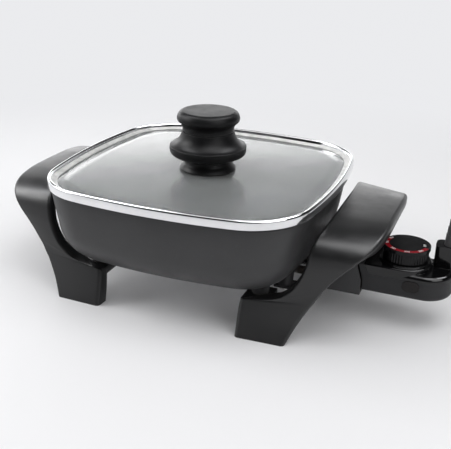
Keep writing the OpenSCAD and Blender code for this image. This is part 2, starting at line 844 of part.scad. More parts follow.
module lid_seal() {
    top_z = glass_top_z - seal_drop;
    color("lightgray") seated()
        skin([
            rim_ring(rim_w, seal_z),
            rim_ring(rim_w, top_z),
            rim_ring(glass_edge, top_z),
            rim_ring(glass_edge, glass_z),
            rim_ring(glass_edge + seal_w, glass_z),
            rim_ring(glass_edge + seal_w, seal_z)
        ], closed = true);
}

module lid_glass() {
    bend = glass_edge + glass_border;
    color("lightgray", 0.4) seated()
        difference() {
            skin([
                rim_ring(bend + glass_bend_w, glass_z + glass_rise),
                rim_ring(bend, glass_z),
                rim_ring(glass_edge, glass_z),
                rim_ring(glass_edge, glass_top_z),
                rim_ring(bend, glass_top_z),
                rim_ring(bend + glass_bend_w, crown_z)
            ]);
            post(0, 0, glass_z - past, crown_z + past, knob_screw_r + loose);
        }
}

// -------------------------------------------------------------------- knob

// Smooth side of a turned piece. Each row gives how far a point lies outside
// r, and its height as a share of h.
function turned_side(r, z, h, rows, steps) =
    smooth([for (p = rows) [r + p[0], z + p[1] * h]], steps);

module turned_piece(side, z, h, bore_r, bore_h) {
    difference() {
        rotate_extrude() polygon(concat([[0, z]], side, [[0, z + h]]));
        post(0, 0, z - past, z + bore_h, bore_r);
    }
}

module knob_foot() {
    side = turned_side(knob_foot_r, knob_z, knob_foot_h, [
        [-0.3, 0], [0, 0.06], [-0.5, 0.17], [-1.7, 0.33], [-3.1, 0.5],
        [-foot_neck, 0.7], [-foot_neck, 1]
    ], 4);
    color("#1c1c1c") seated()
        turned_piece(side, knob_z, knob_foot_h, knob_screw_r + loose, knob_foot_h + past);
}

// Flange with a bell above it, a groove at the foot of the neck, and the head
module knob() {
    groove = 0.7;
    bell = knob_neck_r - knob_flange_r;
    flange = turned_side(knob_flange_r, knob_body_z, knob_h, [
        [knob_foot_r - foot_neck - knob_flange_r, 0], [-4.6, 0.04], [-1.1, 0.1],
        [-0.1, 0.135], [0, 0.165], [-0.4, 0.19], [-1.5, 0.21], [bell + 5.4, 0.27],
        [bell + 3, 0.34], [bell + 1.1, 0.42], [bell + 0.5, 0.49], [bell + 0.3, 0.515]
    ], 3);
    seam = turned_side(knob_neck_r, knob_body_z, knob_h,
        [[-groove, 0.52], [-groove, 0.535]], 1);
    head = turned_side(knob_head_r, knob_body_z, knob_h, [
        [knob_neck_r - knob_head_r, 0.54], [knob_neck_r - knob_head_r, 0.66], [-2.6, 0.735],
        [-0.3, 0.8], [0, 0.87], [-1.2, 0.95], [-2.9, 0.988], [-4.4, 1]
    ], 4);
    color("#1c1c1c") seated()
        turned_piece(concat(flange, seam, head), knob_body_z, knob_h, insert_r, insert_h);
}

module knob_insert() {
    color("goldenrod") seated()
        difference() {
            post(0, 0, knob_body_z, knob_body_z + insert_h, insert_r - running);
            post(0, 0, knob_body_z - past, knob_body_z + insert_h - insert_end,
                knob_screw_r + running);
        }
}

module knob_screw() {
    color("silver") seated() {
        post(0, 0, washer_z - knob_screw_head_h, washer_z, knob_screw_head_r);
        post(0, 0, washer_z - eps, knob_body_z + insert_h - insert_end - tip_gap, knob_screw_r);
    }
}

module knob_washer() {
    color("silver") seated()
        difference() {
            post(0, 0, washer_z, washer_z + knob_washer_t, knob_washer_r);
            post(0, 0, washer_z - past, crown_z, knob_screw_r + loose);
        }
}

module knob_seal() {
    color("lightgray") seated()
        difference() {
            post(0, 0, crown_z, knob_z, knob_foot_r - seal_set_in);
            post(0, 0, crown_z - past, knob_z + past, knob_screw_r + loose);
        }
}

// ------------------------------------------------------------ heat control

// Half section of a housing: a rectangle with its outer edge rounded, at the
// bottom or at the top
module edge_section(w, z0, z1, r, round_top) {
    translate([0, z0]) square([w - r, z1 - z0]);
    translate([0, round_top ? z0 : z0 + r]) square([w, z1 - z0 - r]);
    translate([w - r, round_top ? z1 - r : z0 + r]) circle(r);
}

// Slab with a flat inner end at x0 and a round outer end about x1
module stadium(x0, x1, w, z0, z1, r, round_top) {
    translate([x0, 0, 0])
        rotate([90, 0, 90])
            linear_extrude(x1 - x0) {
                edge_section(w, z0, z1, r, round_top);
                mirror([1, 0]) edge_section(w, z0, z1, r, round_top);
            }
    translate([x1, 0, 0])
        rotate([0, 0, -90])
            rotate_extrude(angle = 180)
                edge_section(w, z0, z1, r, round_top);
}

// The same slab with square edges
module hollow(x0, x1, w, z0, z1) {
    translate([x0, -w, z0]) cube([x1 - x0, 2 * w, z1 - z0]);
    post(x1, 0, z0, z1, w);
}

module screw_spots() {
    both_sides()
        translate([post_x, control_half - control_wall - post_r - post_gap, 0]) children();
    translate([back_post_x, back_post_y, 0]) children();
}

// Everything on the pan's side of the upper housing's leaning end
module lean_side() {
    gap = 0.1;          // between the two housings along the leaning split
    low_z = split_z - past;
    high_z = deck_z + past;
    lean = tan(end_lean);
    rotate([90, 0, 0])
        linear_extrude(2 * (control_half + past), center = true)
            polygon([
                [control_x - upper_h, low_z],
                [control_x + (deck_z - low_z) * lean + gap, low_z],
                [control_x + (deck_z - high_z) * lean + gap, high_z],
                [control_x - upper_h, high_z]
            ]);
}

module lens_outline(r) {
    for (s = [-1, 1])
        translate([s * (lens_w / 2 - lens_r), 0]) circle(r);
    translate([lens_r - lens_w / 2, -r]) square([lens_w - 2 * lens_r, 2 * r]);
}

// Bar with the lens's outline from the front face inwards
module lens_bar(r, y0, y1) {
    translate([lens_x, y1, lens_z])
        rotate([90, 0, 0])
            linear_extrude(y1 - y0)
                lens_outline(r);
}

// Inner end of the lower housing, which stands up to the deck. It leans back
// with the guard's mouth, and the upper housing leans on its other side.
module cheek() {
    drop = 0.4;         // top of the inner end below the deck
    top_z = deck_z - drop;
    back = (top_z - lean_z) * tan(guard_lean);
    lean = tan(end_lean);
    intersection() {
        translate([control_x - back, 0, 0])
            rotate([90, 0, 90])
                linear_extrude(back + control_half) {
                    edge_section(control_half, lean_z, deck_z, deck_round, true);
                    mirror([1, 0]) edge_section(control_half, lean_z, deck_z, deck_round, true);
                }
        rotate([90, 0, 0])
            linear_extrude(2 * (control_half + past), center = true)
                polygon([
                    [control_x, lean_z],
                    [control_x + control_wall, lean_z],
                    [control_x + control_wall, split_z - past / 2],
                    [control_x + (deck_z - split_z + past / 2) * lean, split_z - past / 2],
                    [control_x + drop * lean, top_z],
                    [control_x - back, top_z]
                ]);
    }
}

module lower_housing() {
    color("#2a2a2c") seated()
        difference() {
            union() {
                difference() {
                    stadium(control_x, control_end_x, control_half, control_z, split_z,
                        lower_round, false);
                    hollow(control_x + control_wall, control_end_x,
                        control_half - control_wall, control_floor_z, split_z + past);
                }
                cheek();
                screw_spots() post(0, 0, control_floor_z - past, split_z, post_r);
            }
            // Way in for the terminal block, and its seat in the floor
            translate([control_x - past, -block_half - running, block_bottom_z - running])
                cube([block_end_x + 2 * past - control_x, 2 * (block_half + running),
                    block_top_z - block_bottom_z + 2 * running]);
            screw_spots()
                post(0, 0, control_z - past, split_z + past, housing_screw_r + screw_slack);
            screw_spots()
                post(0, 0, control_z - past, control_z + screw_set_in + housing_screw_head_h,
                    housing_screw_head_r + screw_slack);
            lens_bar(lens_r, -control_half - past, -control_half + control_wall + past);
        }
}

module cord_boss_outline(shrink) {
    w = cord_boss_w - 2 * shrink;
    d = cord_boss_d - 2 * shrink;
    r = cord_boss_round - shrink;
    translate([cord_boss_x, cord_boss_y]) {
        translate([-w / 2 + r, -d / 2]) square([w - 2 * r, d]);
        translate([-w / 2, -d / 2 + r]) square([w, d - 2 * r]);
        for (x = [-1, 1], y = [-1, 1])
            translate([x * (w / 2 - r), y * (d / 2 - r)]) circle(r);
    }
}

// Point on the strain relief's axis
function relief_point(h) =
    [relief_x + h * sin(relief_tilt), cord_boss_y, relief_z + h * cos(relief_tilt)];

module relief_bar(r, from_h, to_h) {
    translate([relief_x, cord_boss_y, relief_z])
        rotate([0, relief_tilt, 0])
            translate([0, 0, from_h])
                cylinder(r = r, h = to_h - from_h);
}

module upper_housing() {
    inner_end = control_x + control_wall + (deck_z - split_z) * tan(end_lean);
    deck_wall = control_wall + 1;
    boss_start = 3;     // hollow of the cord's housing above the split
    boss_roof = 2.5;
    way_r = 5.2;
    way_set_in = 1.6;
    root_drop = relief_r * tan(relief_tilt);    // opens the relief's seat all round
    color("#101012") seated()
        difference() {
            union() {
                difference() {
                    union() {
                        stadium(control_x, control_end_x, control_half, split_z, shoulder_z,
                            shoulder_round, true);
                        stadium(control_x, dial_x, control_half, split_z, deck_z, deck_round,
                            true);
                        translate([0, 0, split_z + past])
                            linear_extrude(cord_boss_z - split_z - past)
                                cord_boss_outline(0);
                    }
                    hollow(inner_end, control_end_x, control_half - control_wall,
                        split_z - past, shoulder_z - control_wall);
                    hollow(inner_end, dial_x, control_half - deck_wall,
                        split_z - past, deck_z - control_wall);
                    translate([0, 0, split_z + boss_start])
                        linear_extrude(cord_boss_z - split_z - boss_start - boss_roof)
                            cord_boss_outline(cord_boss_wall);
                }
                screw_spots() post(0, 0, split_z, shoulder_z - past, post_r);
            }
            lean_side();
            // What the round edges leave below the split
            translate([control_x - past, -control_half - past, split_z - 2 * shoulder_round])
                cube([control_run + control_half + 2 * past, 2 * (control_half + past),
                    2 * shoulder_round]);
            screw_spots()
                post(0, 0, split_z - past, shoulder_z - control_wall, housing_screw_r + running);
            post(dial_x, 0, split_z, deck_z + past, bushing_r + running);
            // Way for the leads from the cord's housing to the terminals
            post(cord_boss_x - way_set_in, cord_boss_y - way_set_in, split_z, shoulder_z, way_r);
            relief_bar(relief_r + relief_bore, relief_root - relief_bore - root_drop, relief_exit);
        }
}

module dial_bezel() {
    step = 0.5;
    color("#18181a") seated()
        difference() {
            union() {
                post(dial_x, 0, deck_z, deck_z + bezel_h - step, dial_r + bezel_w);
                post(dial_x, 0, deck_z, deck_z + bezel_h, dial_r + bezel_w - step);
            }
            post(dial_x, 0, deck_z - past, deck_z + bezel_h + past,
                bushing_r + bushing_flange + loose);
        }
}

module terminal_block() {
    color("sienna") seated()
        difference() {
            translate([block_x, -block_half, block_bottom_z])
                cube([block_end_x - block_x, 2 * block_half, block_top_z - block_bottom_z]);
            both_sides()
                rod_x(block_x - past, block_end_x + past, pin_y, pin_z, sleeve_r + running);
            rod_x(block_x - past, block_end_x + past, 0, pin_z, rod_r + running);
        }
}

module female_terminals() {
    color("goldenrod") seated()
        both_sides()
            difference() {
                rod_x(block_x + sleeve_step, block_end_x + sleeve_out, pin_y, pin_z, sleeve_r);
                rod_x(block_x, pin_tip_x + sleeve_past_pin, pin_y, pin_z, pin_r + running);
            }
}

module sensing_rod() {
    neck_r = rod_r - 1;
    color("silver") seated() {
        translate([rod_tip_x + rod_r, 0, pin_z]) sphere(r = rod_r);
        rod_x(rod_tip_x + rod_r, block_end_x, 0, pin_z, rod_r);
        rod_x(block_x - rod_collar, block_x, 0, pin_z, rod_r + rod_collar_w);
        rod_x(block_end_x, frame_x - neck_gap, 0, pin_z, neck_r);
    }
}

module thermostat_frame() {
    color("silver") seated()
        difference() {
            union() {
                translate([frame_x, -frame_half, control_floor_z])
                    cube([frame_len, 2 * frame_half, frame_t]);
                for (x = [frame_x, frame_x + frame_len - frame_t])
                    translate([x, -frame_half, control_floor_z])
                        cube([frame_t, 2 * frame_half, tower_z - control_floor_z]);
                translate([frame_x, -frame_half, tower_z - frame_t])
                    cube([frame_len, 2 * frame_half, frame_t]);
            }
            post(dial_x, 0, frame_floor_z + past, tower_z + past, bushing_r + running);
        }
}

// Flat spring with a foot on the thermostat's frame
module spring(y, w, z, t, foot, len) {
    translate([spring_x, y, z]) cube([len, w, t]);
    translate([spring_x, y, frame_floor_z]) cube([foot, w, z - frame_floor_z]);
}

module bimetal_blade() {
    color("peru") seated()
        spring(-blade_w / 2, blade_w, blade_z, blade_t, blade_foot,
            frame_len - blade_short);
}

module contact_arm() {
    color("goldenrod") seated()
        spring(arm_y, arm_w, arm_z, arm_t, arm_foot, frame_len - arm_short);
}

module contacts() {
    x = frame_x + frame_len - contact_set_in;
    y = arm_y + arm_w / 2;
    color("silver") seated() {
        post(x, y, arm_z - contact_h, arm_z, contact_r);
        post(x, y, frame_floor_z, arm_z - contact_h - contact_open, contact_r);
    }
}

module shaft_bushing() {
    color("goldenrod") seated()
        difference() {
            union() {
                post(dial_x, 0, tower_z - frame_t, deck_z + bezel_h + bushing_out, bushing_r);
                post(dial_x, 0, tower_z, deck_z - control_wall, bushing_r + bushing_flange);
            }
            post(dial_x, 0, frame_floor_z + past, dial_z, shaft_r + running);
        }
}

module dial_shaft() {
    collar_z = tower_z - frame_t - loose;
    color("gold") seated() {
        post(dial_x, 0, blade_z + blade_t + loose, shaft_top_z, shaft_r);
        post(dial_x, 0, collar_z - shaft_collar_h, collar_z, shaft_r + shaft_collar);
    }
}

module dial() {
    lip_h = 2.6;
    ridge = 0.35;
    skirt_w = 2.5;
    body_r = dial_r - dial_lip_w;
    color("#111113") seated()
        difference() {
            union() {
                translate([dial_x, 0, dial_z])
                    linear_extrude(dial_h - lip_h + eps)
                        polygon([for (i = [0:2 * dial_ridges - 1])
                            let (a = 180 * i / dial_ridges, r = body_r - (i % 2) * ridge)
                            [r * cos(a), r * sin(a)]]);
                post(dial_x, 0, dial_top_z - lip_h, dial_top_z, dial_r);
            }
            post(dial_x, 0, dial_top_z - plate_t, dial_top_z + past, body_r);
            post(dial_x, 0, dial_z - past, shaft_top_z + running, shaft_r + running);
            difference() {
                post(dial_x, 0, dial_z - past, shaft_top_z - past, body_r - skirt_w);
                post(dial_x, 0, dial_z - 2 * past, dial_top_z, shaft_r + skirt_w);
            }
        }
}

module dial_plate() {
    color("black") seated()
        post(dial_x, 0, dial_top_z - plate_t, dial_top_z, dial_r - dial_lip_w - running);
}

module indicator_lens() {
    color("firebrick") seated()
        lens_bar(lens_r - running, -control_half - lens_proud,
            -control_half + control_wall + lens_inside);
}

module indicator_lamp() {
    lamp_y = -control_half + control_wall + lens_inside + 0.4;
    lamp_r = 2.4;
    lamp_len = 3.4;
    wire_len = 1.4;
    wire_apart = 1.2;
    color("orange") seated()
        translate([lens_x, lamp_y, lens_z])
            rotate([-90, 0, 0]) {
                cylinder(r = lamp_r, h = lamp_len);
                for (x = [-wire_apart, wire_apart])
                    translate([x, 0, lamp_len])
                        cylinder(r = wire_r / 2, h = wire_len);
            }
}

module housing_screws() {
    seat_z = control_z + screw_set_in + housing_screw_head_h;
    color("silver") seated()
        screw_spots() {
            post(0, 0, control_z + screw_set_in, seat_z, housing_screw_head_r);
            post(0, 0, seat_z - eps, shoulder_z - control_wall - tip_gap, housing_screw_r);
        }
}

module lead_wires() {
    color("white") seated()
        for (s = [-1, 1])
            tube(wire_route(s), wire_r);
}

module strain_relief() {
    ribs = 6;
    solid_share = 0.7;  // share of each step that is rib and not groove
    groove = 0.7;
    root_top = relief_foot + relief_flange;
    step = (relief_len - relief_flange) / ribs;
    color("#2a2a2c") seated()
        difference() {
            union() {
                relief_bar(relief_r, relief_root, root_top);
                for (k = [0:ribs - 1]) {
                    wide = relief_r - (relief_r - cord_r - 1) * k / ribs;
                    start = root_top + k * step;
                    relief_bar(wide, start - eps, start + step * solid_share);
                    relief_bar(wide - groove, start, start + step);
                }
            }
            relief_bar(cord_r + relief_bore, 0, relief_foot + relief_len + past);
        }
}

// -------------------------------------------------------------------- cord

module cord() {
    color("#1a1a1a") seated()
        for (route = [lead_route, tail_route])
            tube(smooth(route, 2), cord_r);
}

module cord_coil() {
    color("#1a1a1a") seated()
        translate([coil_x, coil_y, 0])
            rotate_extrude()
                translate([coil_r - cord_r, tie_t])
                    square([2 * cord_r, coil_top_z - tie_t]);
}

module cord_tie() {
    w = 2 * (cord_r + tie_slack);
    h = coil_top_z + tie_slack / 2;
    color("#101010") seated()
        translate([coil_x - coil_r, coil_y, 0])
            difference() {
                translate([-w / 2 - tie_t, -tie_w / 2, 0])
                    cube([w + 2 * tie_t, tie_w, h + tie_t]);
                translate([-w / 2, -tie_w / 2 - past, tie_t])
                    cube([w, tie_w + 2 * past, h - tie_t]);
            }
}

module plug_body() {
    color("#1a1a1a") seated()
        translate([plug_x, plug_y, 0])
            difference() {
                union() {
                    translate([-plug_len, -plug_w / 2, 0])
                        cube([plug_len - plug_nose, plug_w, plug_h]);
                    hull() {
                        translate([-plug_nose - 2, -plug_w / 2, 0]) cube([2, plug_w, plug_h]);
                        translate([4, -plug_nose_w / 2, 0]) cube([2, plug_nose_w, plug_nose_w]);
                    }
                }
                translate([-past, 0, plug_hole_z])
                    rotate([0, 90, 0])
                        cylinder(r = cord_r + relief_bore, h = plug_len);
            }
}

module plug_blades() {
    color("gainsboro") seated()
        for (s = [-1, 1])
            translate([plug_x - plug_len - blade_len,
                plug_y + s * blade_gap / 2 - blade_thick / 2, (plug_h - blade_wide) / 2])
                cube([blade_len, blade_thick, blade_wide]);
}

pan();
heat_spreader();
heating_element();
terminal_pins();
terminal_bushes();
handle_left();
handle_right();
handle_screws();
heat_washers();
socket_guard();
guard_screws();
lid_rim();
lid_seal();
lid_glass();
knob_foot();
knob();
knob_insert();
knob_screw();
knob_washer();
knob_seal();
lower_housing();
upper_housing();
dial_bezel();
terminal_block();
female_terminals();
sensing_rod();
thermostat_frame();
bimetal_blade();
contact_arm();
contacts();
shaft_bushing();
dial_shaft();
dial();
dial_plate();
indicator_lens();
indicator_lamp();
housing_screws();
lead_wires();
strain_relief();
cord();
cord_coil();
cord_tie();
plug_body();
plug_blades();
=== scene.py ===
"""Looks for the electric skillet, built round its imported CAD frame.

Lengths in this script are millimetres about the middle of the pan, as in the
part's source, and metres() turns them into the frame's metres. The lamps and
the floor are in metres from the start.
"""
import math

import bmesh
import bpy
from mathutils import Matrix, Vector


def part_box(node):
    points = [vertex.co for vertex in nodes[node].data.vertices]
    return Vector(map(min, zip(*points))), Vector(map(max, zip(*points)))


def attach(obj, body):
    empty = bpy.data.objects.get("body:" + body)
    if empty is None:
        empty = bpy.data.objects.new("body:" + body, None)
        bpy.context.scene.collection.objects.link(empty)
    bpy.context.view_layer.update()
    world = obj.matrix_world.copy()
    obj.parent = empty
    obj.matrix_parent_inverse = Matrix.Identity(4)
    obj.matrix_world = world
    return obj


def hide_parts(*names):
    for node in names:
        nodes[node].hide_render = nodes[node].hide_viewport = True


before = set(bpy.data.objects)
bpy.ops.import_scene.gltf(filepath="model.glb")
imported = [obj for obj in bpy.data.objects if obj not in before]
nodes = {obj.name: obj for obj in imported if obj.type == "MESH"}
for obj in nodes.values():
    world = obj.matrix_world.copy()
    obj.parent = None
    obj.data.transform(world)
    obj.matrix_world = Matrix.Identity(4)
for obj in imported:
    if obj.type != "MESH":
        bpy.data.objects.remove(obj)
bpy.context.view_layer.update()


# ------------------------------------------------------------------ the frame

def middle(node, axis):
    low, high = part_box(node)
    return (low[axis] + high[axis]) / 2


PAN_X = middle("pan", 0)


def metres(point):
    return Vector((PAN_X + point[0] / 1000, point[1] / 1000, point[2] / 1000))


# --------------------------------------------------------------------- camera

# Solved from the photo with the pan's stated size
CAMERA_AT = (225.06, -540.33, 289.76)
CAMERA_AZIMUTH = math.radians(21.139)
CAMERA_ELEVATION = math.radians(22.450)
CAMERA_ROLL = math.radians(1.512)
CAMERA_LENS = 62.81


def make_camera():
    az, el, roll = CAMERA_AZIMUTH, CAMERA_ELEVATION, CAMERA_ROLL
    right = Vector((math.cos(az), math.sin(az), 0))
    back = Vector((math.sin(az) * math.cos(el), -math.cos(az) * math.cos(el), math.sin(el)))
    up = back.cross(right)
    right, up = (
        math.cos(roll) * right + math.sin(roll) * up,
        -math.sin(roll) * right + math.cos(roll) * up,
    )
    data = bpy.data.cameras.new("camera")
    data.sensor_width = 36
    data.lens = CAMERA_LENS
    data.clip_start = 0.01
    camera = bpy.data.objects.new("camera", data)
    turn = Matrix((right, up, back)).transposed()
    camera.matrix_world = Matrix.Translation(metres(CAMERA_AT)) @ turn.to_4x4()
    bpy.context.scene.collection.objects.link(camera)
    bpy.context.scene.camera = camera


# -------------------------------------------------------------- mesh builders

def add(name, mesh, body, material, replaced=()):
    """Put a mesh in the scene on a body, in the place of the replaced nodes."""
    mesh.materials.append(material)
    piece = bpy.data.objects.new(name, mesh)
    bpy.context.scene.collection.objects.link(piece)
    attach(piece, body)
    if replaced:
        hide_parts(*replaced)
    return piece


def smooth_edges(mesh, degrees):
    """Smooth shading, with the edges sharper than this kept crisp."""
    shaded = bmesh.new()
    shaded.from_mesh(mesh)
    bmesh.ops.recalc_face_normals(shaded, faces=shaded.faces)
    for face in shaded.faces:
        face.smooth = True
    for edge in shaded.edges:
        if len(edge.link_faces) == 2:
            edge.smooth = edge.calc_face_angle(0) < math.radians(degrees)
    shaded.to_mesh(mesh)
    shaded.free()


def loft(name, rings, closed=False, degrees=40):
    """Skin through rings of equally many points, capped unless it is closed."""
    n = len(rings[0])
    points = [metres(p) for ring in rings for p in ring]
    faces = []
    last = len(rings) if closed else len(rings) - 1
    for k in range(last):
        a, b = k * n, ((k + 1) % len(rings)) * n
        for i in range(n):
            j = (i + 1) % n
            faces.append((a + i, a + j, b + j, b + i))
    if not closed:
        faces.append(tuple(reversed(range(n))))
        faces.append(tuple(range(len(points) - n, len(points))))
    mesh = bpy.data.meshes.new(name)
    mesh.from_pydata(points, [], faces)
    smooth_edges(mesh, degrees)
    return mesh


def turned(name, profile, centre, sides=128):
    """Solid of revolution about a vertical axis, from radius and height pairs."""
    rings = []
    for r, z in profile:
        rings.append([
            (centre[0] + r * math.cos(2 * math.pi * i / sides),
             centre[1] + r * math.sin(2 * math.pi * i / sides), z)
            for i in range(sides)
        ])
    return loft(name, rings, degrees=30)


def catmull(points, steps):
    """Smooth curve through points of any dimension."""
    out = []
    last = len(points) - 1
    for k in range(last):
        a, b = points[max(k - 1, 0)], points[k]
        c, d = points[k + 1], points[min(k + 2, last)]
        for i in range(steps):
            t = i / steps
            out.append([
                0.5 * (2 * q + (r - p) * t + (2 * p - 5 * q + 4 * r - s) * t ** 2
                       + (3 * q - p - 3 * r + s) * t ** 3)
                for p, q, r, s in zip(a, b, c, d)
            ])
    out.append(list(points[last]))
    return out


# ------------------------------------------------------------------ materials

class Graph:
    """Shorthand for a material's nodes."""

    def __init__(self, name):
        self.material = bpy.data.materials.new(name)
        self.material.use_nodes = True
        self.tree = self.material.node_tree
        self.shader = self.tree.nodes["Principled BSDF"]
        self.output = self.tree.nodes["Material Output"]

    def node(self, kind, **values):
        made = self.tree.nodes.new(kind)
        for key, value in values.items():
            if hasattr(made, key):
                setattr(made, key, value)
            else:
                made.inputs[key.replace("_", " ")].default_value = value
        return made

    def link(self, source, target):
        self.tree.links.new(source, target)

    def set(self, **values):
        for key, value in values.items():
            self.shader.inputs[key.replace("_", " ")].default_value = value

    def noise(self, scale, detail=4, stretch=None):
        """Noise in the object's own metres, stretched along an axis if asked."""
        place = self.node("ShaderNodeTexCoord")
        source = place.outputs["Object"]
        if stretch is not None:
            mapping = self.node("ShaderNodeMapping")
            mapping.inputs["Scale"].default_value = stretch
            self.link(source, mapping.inputs["Vector"])
            source = mapping.outputs["Vector"]
        made = self.node("ShaderNodeTexNoise", Scale=scale, Detail=detail, Roughness=0.55)
        self.link(source, made.inputs["Vector"])
        return made.outputs["Fac"]

    def spread(self, source, low, high, start=0.3, end=0.7):
        """Map a factor to a range of values."""
        made = self.node("ShaderNodeMapRange")
        made.inputs["From Min"].default_value = start
        made.inputs["From Max"].default_value = end
        made.inputs["To Min"].default_value = low
        made.inputs["To Max"].default_value = high
        self.link(source, made.inputs["Value"])
        return made.outputs["Result"]

    def blend(self, factor, first, second):
        """Colour between a colour or another output and a colour."""
        made = self.node("ShaderNodeMix", data_type="RGBA")
        self.link(factor, made.inputs["Factor"])
        if isinstance(first, tuple):
            made.inputs["A"].default_value = (*first, 1)
        else:
            self.link(first, made.inputs["A"])
        made.inputs["B"].default_value = (*second, 1)
        return made.outputs["Result"]

    def bevel(self, radius):
        """Normal of edges rounded by a radius in millimetres."""
        made = self.node("ShaderNodeBevel", samples=4)
        made.inputs["Radius"].default_value = radius / 1000
        return made.outputs["Normal"]

    def bump(self, height, depth, edge=0.0):
        """Bump of a depth in millimetres, over edges rounded by edge millimetres."""
        made = self.node("ShaderNodeBump", Strength=1.0, Distance=depth / 1000)
        self.link(height, made.inputs["Height"])
        if edge:
            self.link(self.bevel(edge), made.inputs["Normal"])
        self.link(made.outputs["Normal"], self.shader.inputs["Normal"])

    def edge_rubbing_and_painted_highlight(self, colour, rubbed_edge_and_highlight_colour):
        """Lighter colour within 0.6 mm of the edges, at half strength: partly rubbing, partly a
        painted highlight along crisp edges.
        """
        crisp = self.node("ShaderNodeNewGeometry")
        dot = self.node("ShaderNodeVectorMath", operation="DOT_PRODUCT")
        self.link(crisp.outputs["Normal"], dot.inputs[0])
        self.link(self.bevel(0.6), dot.inputs[1])
        edge = self.spread(dot.outputs["Value"], 0.5, 0.0, 0.75, 1.0)
        return self.blend(edge, colour, rubbed_edge_and_highlight_colour)


def shade(colour, amount):
    """The colour, lighter or darker by a factor."""
    return tuple(min(1.0, c * amount) for c in colour)


def plastic(name, colour, rough, grain=2200, depth=0.02, rubbed_edge_and_highlight_colour=None, shine=0.3):
    """Moulded plastic: fine spark-eroded grain, faint mottling, and edges lighter in the colour,
    partly rubbed and partly a painted highlight.
    """
    g = Graph(name)
    mottle = g.spread(g.noise(38, 6), 0, 1)
    base = g.blend(mottle, shade(colour, 0.88), shade(colour, 1.12))
    if rubbed_edge_and_highlight_colour is not None:
        base = g.edge_rubbing_and_painted_highlight(base, rubbed_edge_and_highlight_colour)
    g.link(base, g.shader.inputs["Base Color"])
    smear = g.noise(90, 5, stretch=(1, 1, 2.5))
    g.link(g.spread(smear, rough * 0.86, rough * 1.16), g.shader.inputs["Roughness"])
    g.bump(g.noise(grain, 3), depth, edge=0.35)
    g.set(Specular_IOR_Level=shine)
    return g.material


def metal(name, colour, rough, stretch=(1, 1, 1), scale=900, depth=0.006):
    """Metal with a drawn or ground grain and slight tarnish."""
    g = Graph(name)
    stain = g.spread(g.noise(45, 6), 0, 1)
    g.link(g.blend(stain, shade(colour, 0.88), colour), g.shader.inputs["Base Color"])
    grain = g.noise(scale, 4, stretch=stretch)
    g.link(g.spread(grain, rough * 0.75, rough * 1.3), g.shader.inputs["Roughness"])
    g.bump(grain, depth, edge=0.2)
    g.set(Metallic=1.0)
    return g.material


def nonstick(name, colour, rough):
    """Sprayed non-stick coat over cast aluminium: fine speckle and orange peel."""
    g = Graph(name)
    cloud = g.spread(g.noise(26, 5), 0, 1)
    base = g.blend(cloud, shade(colour, 0.9), shade(colour, 1.1))
    speck = g.spread(g.noise(1500, 2), 0, 1, 0.66, 0.72)
    g.link(g.blend(speck, base, shade(colour, 1.7)), g.shader.inputs["Base Color"])
    g.link(g.spread(g.noise(70, 5), rough * 0.85, rough * 1.2), g.shader.inputs["Roughness"])
    g.bump(g.noise(700, 3), 0.014, edge=0.3)
    g.set(Specular_IOR_Level=0.4)
    return g.material


def clear_glass(name):
    """Tempered lid glass: faint green-grey body, finger haze and dust."""
    g = Graph(name)
    g.set(Base_Color=(0.93, 0.95, 0.95, 1), Transmission_Weight=0.89, IOR=1.5)
    g.link(g.spread(g.noise(24, 6), 0.13, 0.17), g.shader.inputs["Roughness"])
    g.bump(g.noise(12, 2), 0.01)
    return g.material


def rubber(name, colour, rough=0.55):
    """Soft rubber or cord jacket with a powdery bloom."""
    g = Graph(name)
    bloom = g.spread(g.noise(160, 6), 0, 1)
    g.link(g.blend(bloom, shade(colour, 0.8), shade(colour, 1.35)), g.shader.inputs["Base Color"])
    g.link(g.spread(g.noise(120, 4), rough * 0.85, rough * 1.15), g.shader.inputs["Roughness"])
    g.bump(g.noise(1800, 3), 0.02, edge=0.3)
    return g.material


def ceramic(name, colour):
    """Unglazed ceramic or woven glass: dry, with darker flecks."""
    g = Graph(name)
    fleck = g.spread(g.noise(600, 4), 0, 1, 0.5, 0.75)
    g.link(g.blend(fleck, colour, shade(colour, 0.82)), g.shader.inputs["Base Color"])
    g.link(g.spread(g.noise(300, 4), 0.55, 0.8), g.shader.inputs["Roughness"])
    g.bump(g.noise(1600, 4), 0.03, edge=0.2)
    return g.material


def translucent(name, colour):
    """Smooth tinted plastic or glass that lets some light through."""
    g = Graph(name)
    deep = g.spread(g.noise(400, 3), 0, 1)
    g.link(g.blend(deep, shade(colour, 0.85), colour), g.shader.inputs["Base Color"])
    g.link(g.spread(g.noise(200, 4), 0.06, 0.16), g.shader.inputs["Roughness"])
    g.bump(g.noise(900, 2), 0.01, edge=0.3)
    g.set(Transmission_Weight=0.35, Specular_IOR_Level=0.2)
    return g.material


# ----------------------------------------------------------------------- cord

# Sizes and places as in the part's source
CORD_D = 6.5
COIL_R = 36
COIL_AT = (274, 96)
COIL_LOW = 3.95
COIL_HIGH = 17
COIL_TURNS = 2
POINTS_PER_TURN = 24
RELIEF_AT = (189.6, 9.5, 55.3)
RELIEF_TILT = math.radians(4)
RELIEF_EXIT = 12
PLUG_AT = (260, 149, 4.45)


def relief_point(h):
    """Point on the strain relief's axis, at a distance from its foot."""
    return (RELIEF_AT[0] + h * math.sin(RELIEF_TILT), RELIEF_AT[1],
            RELIEF_AT[2] + h * math.cos(RELIEF_TILT))


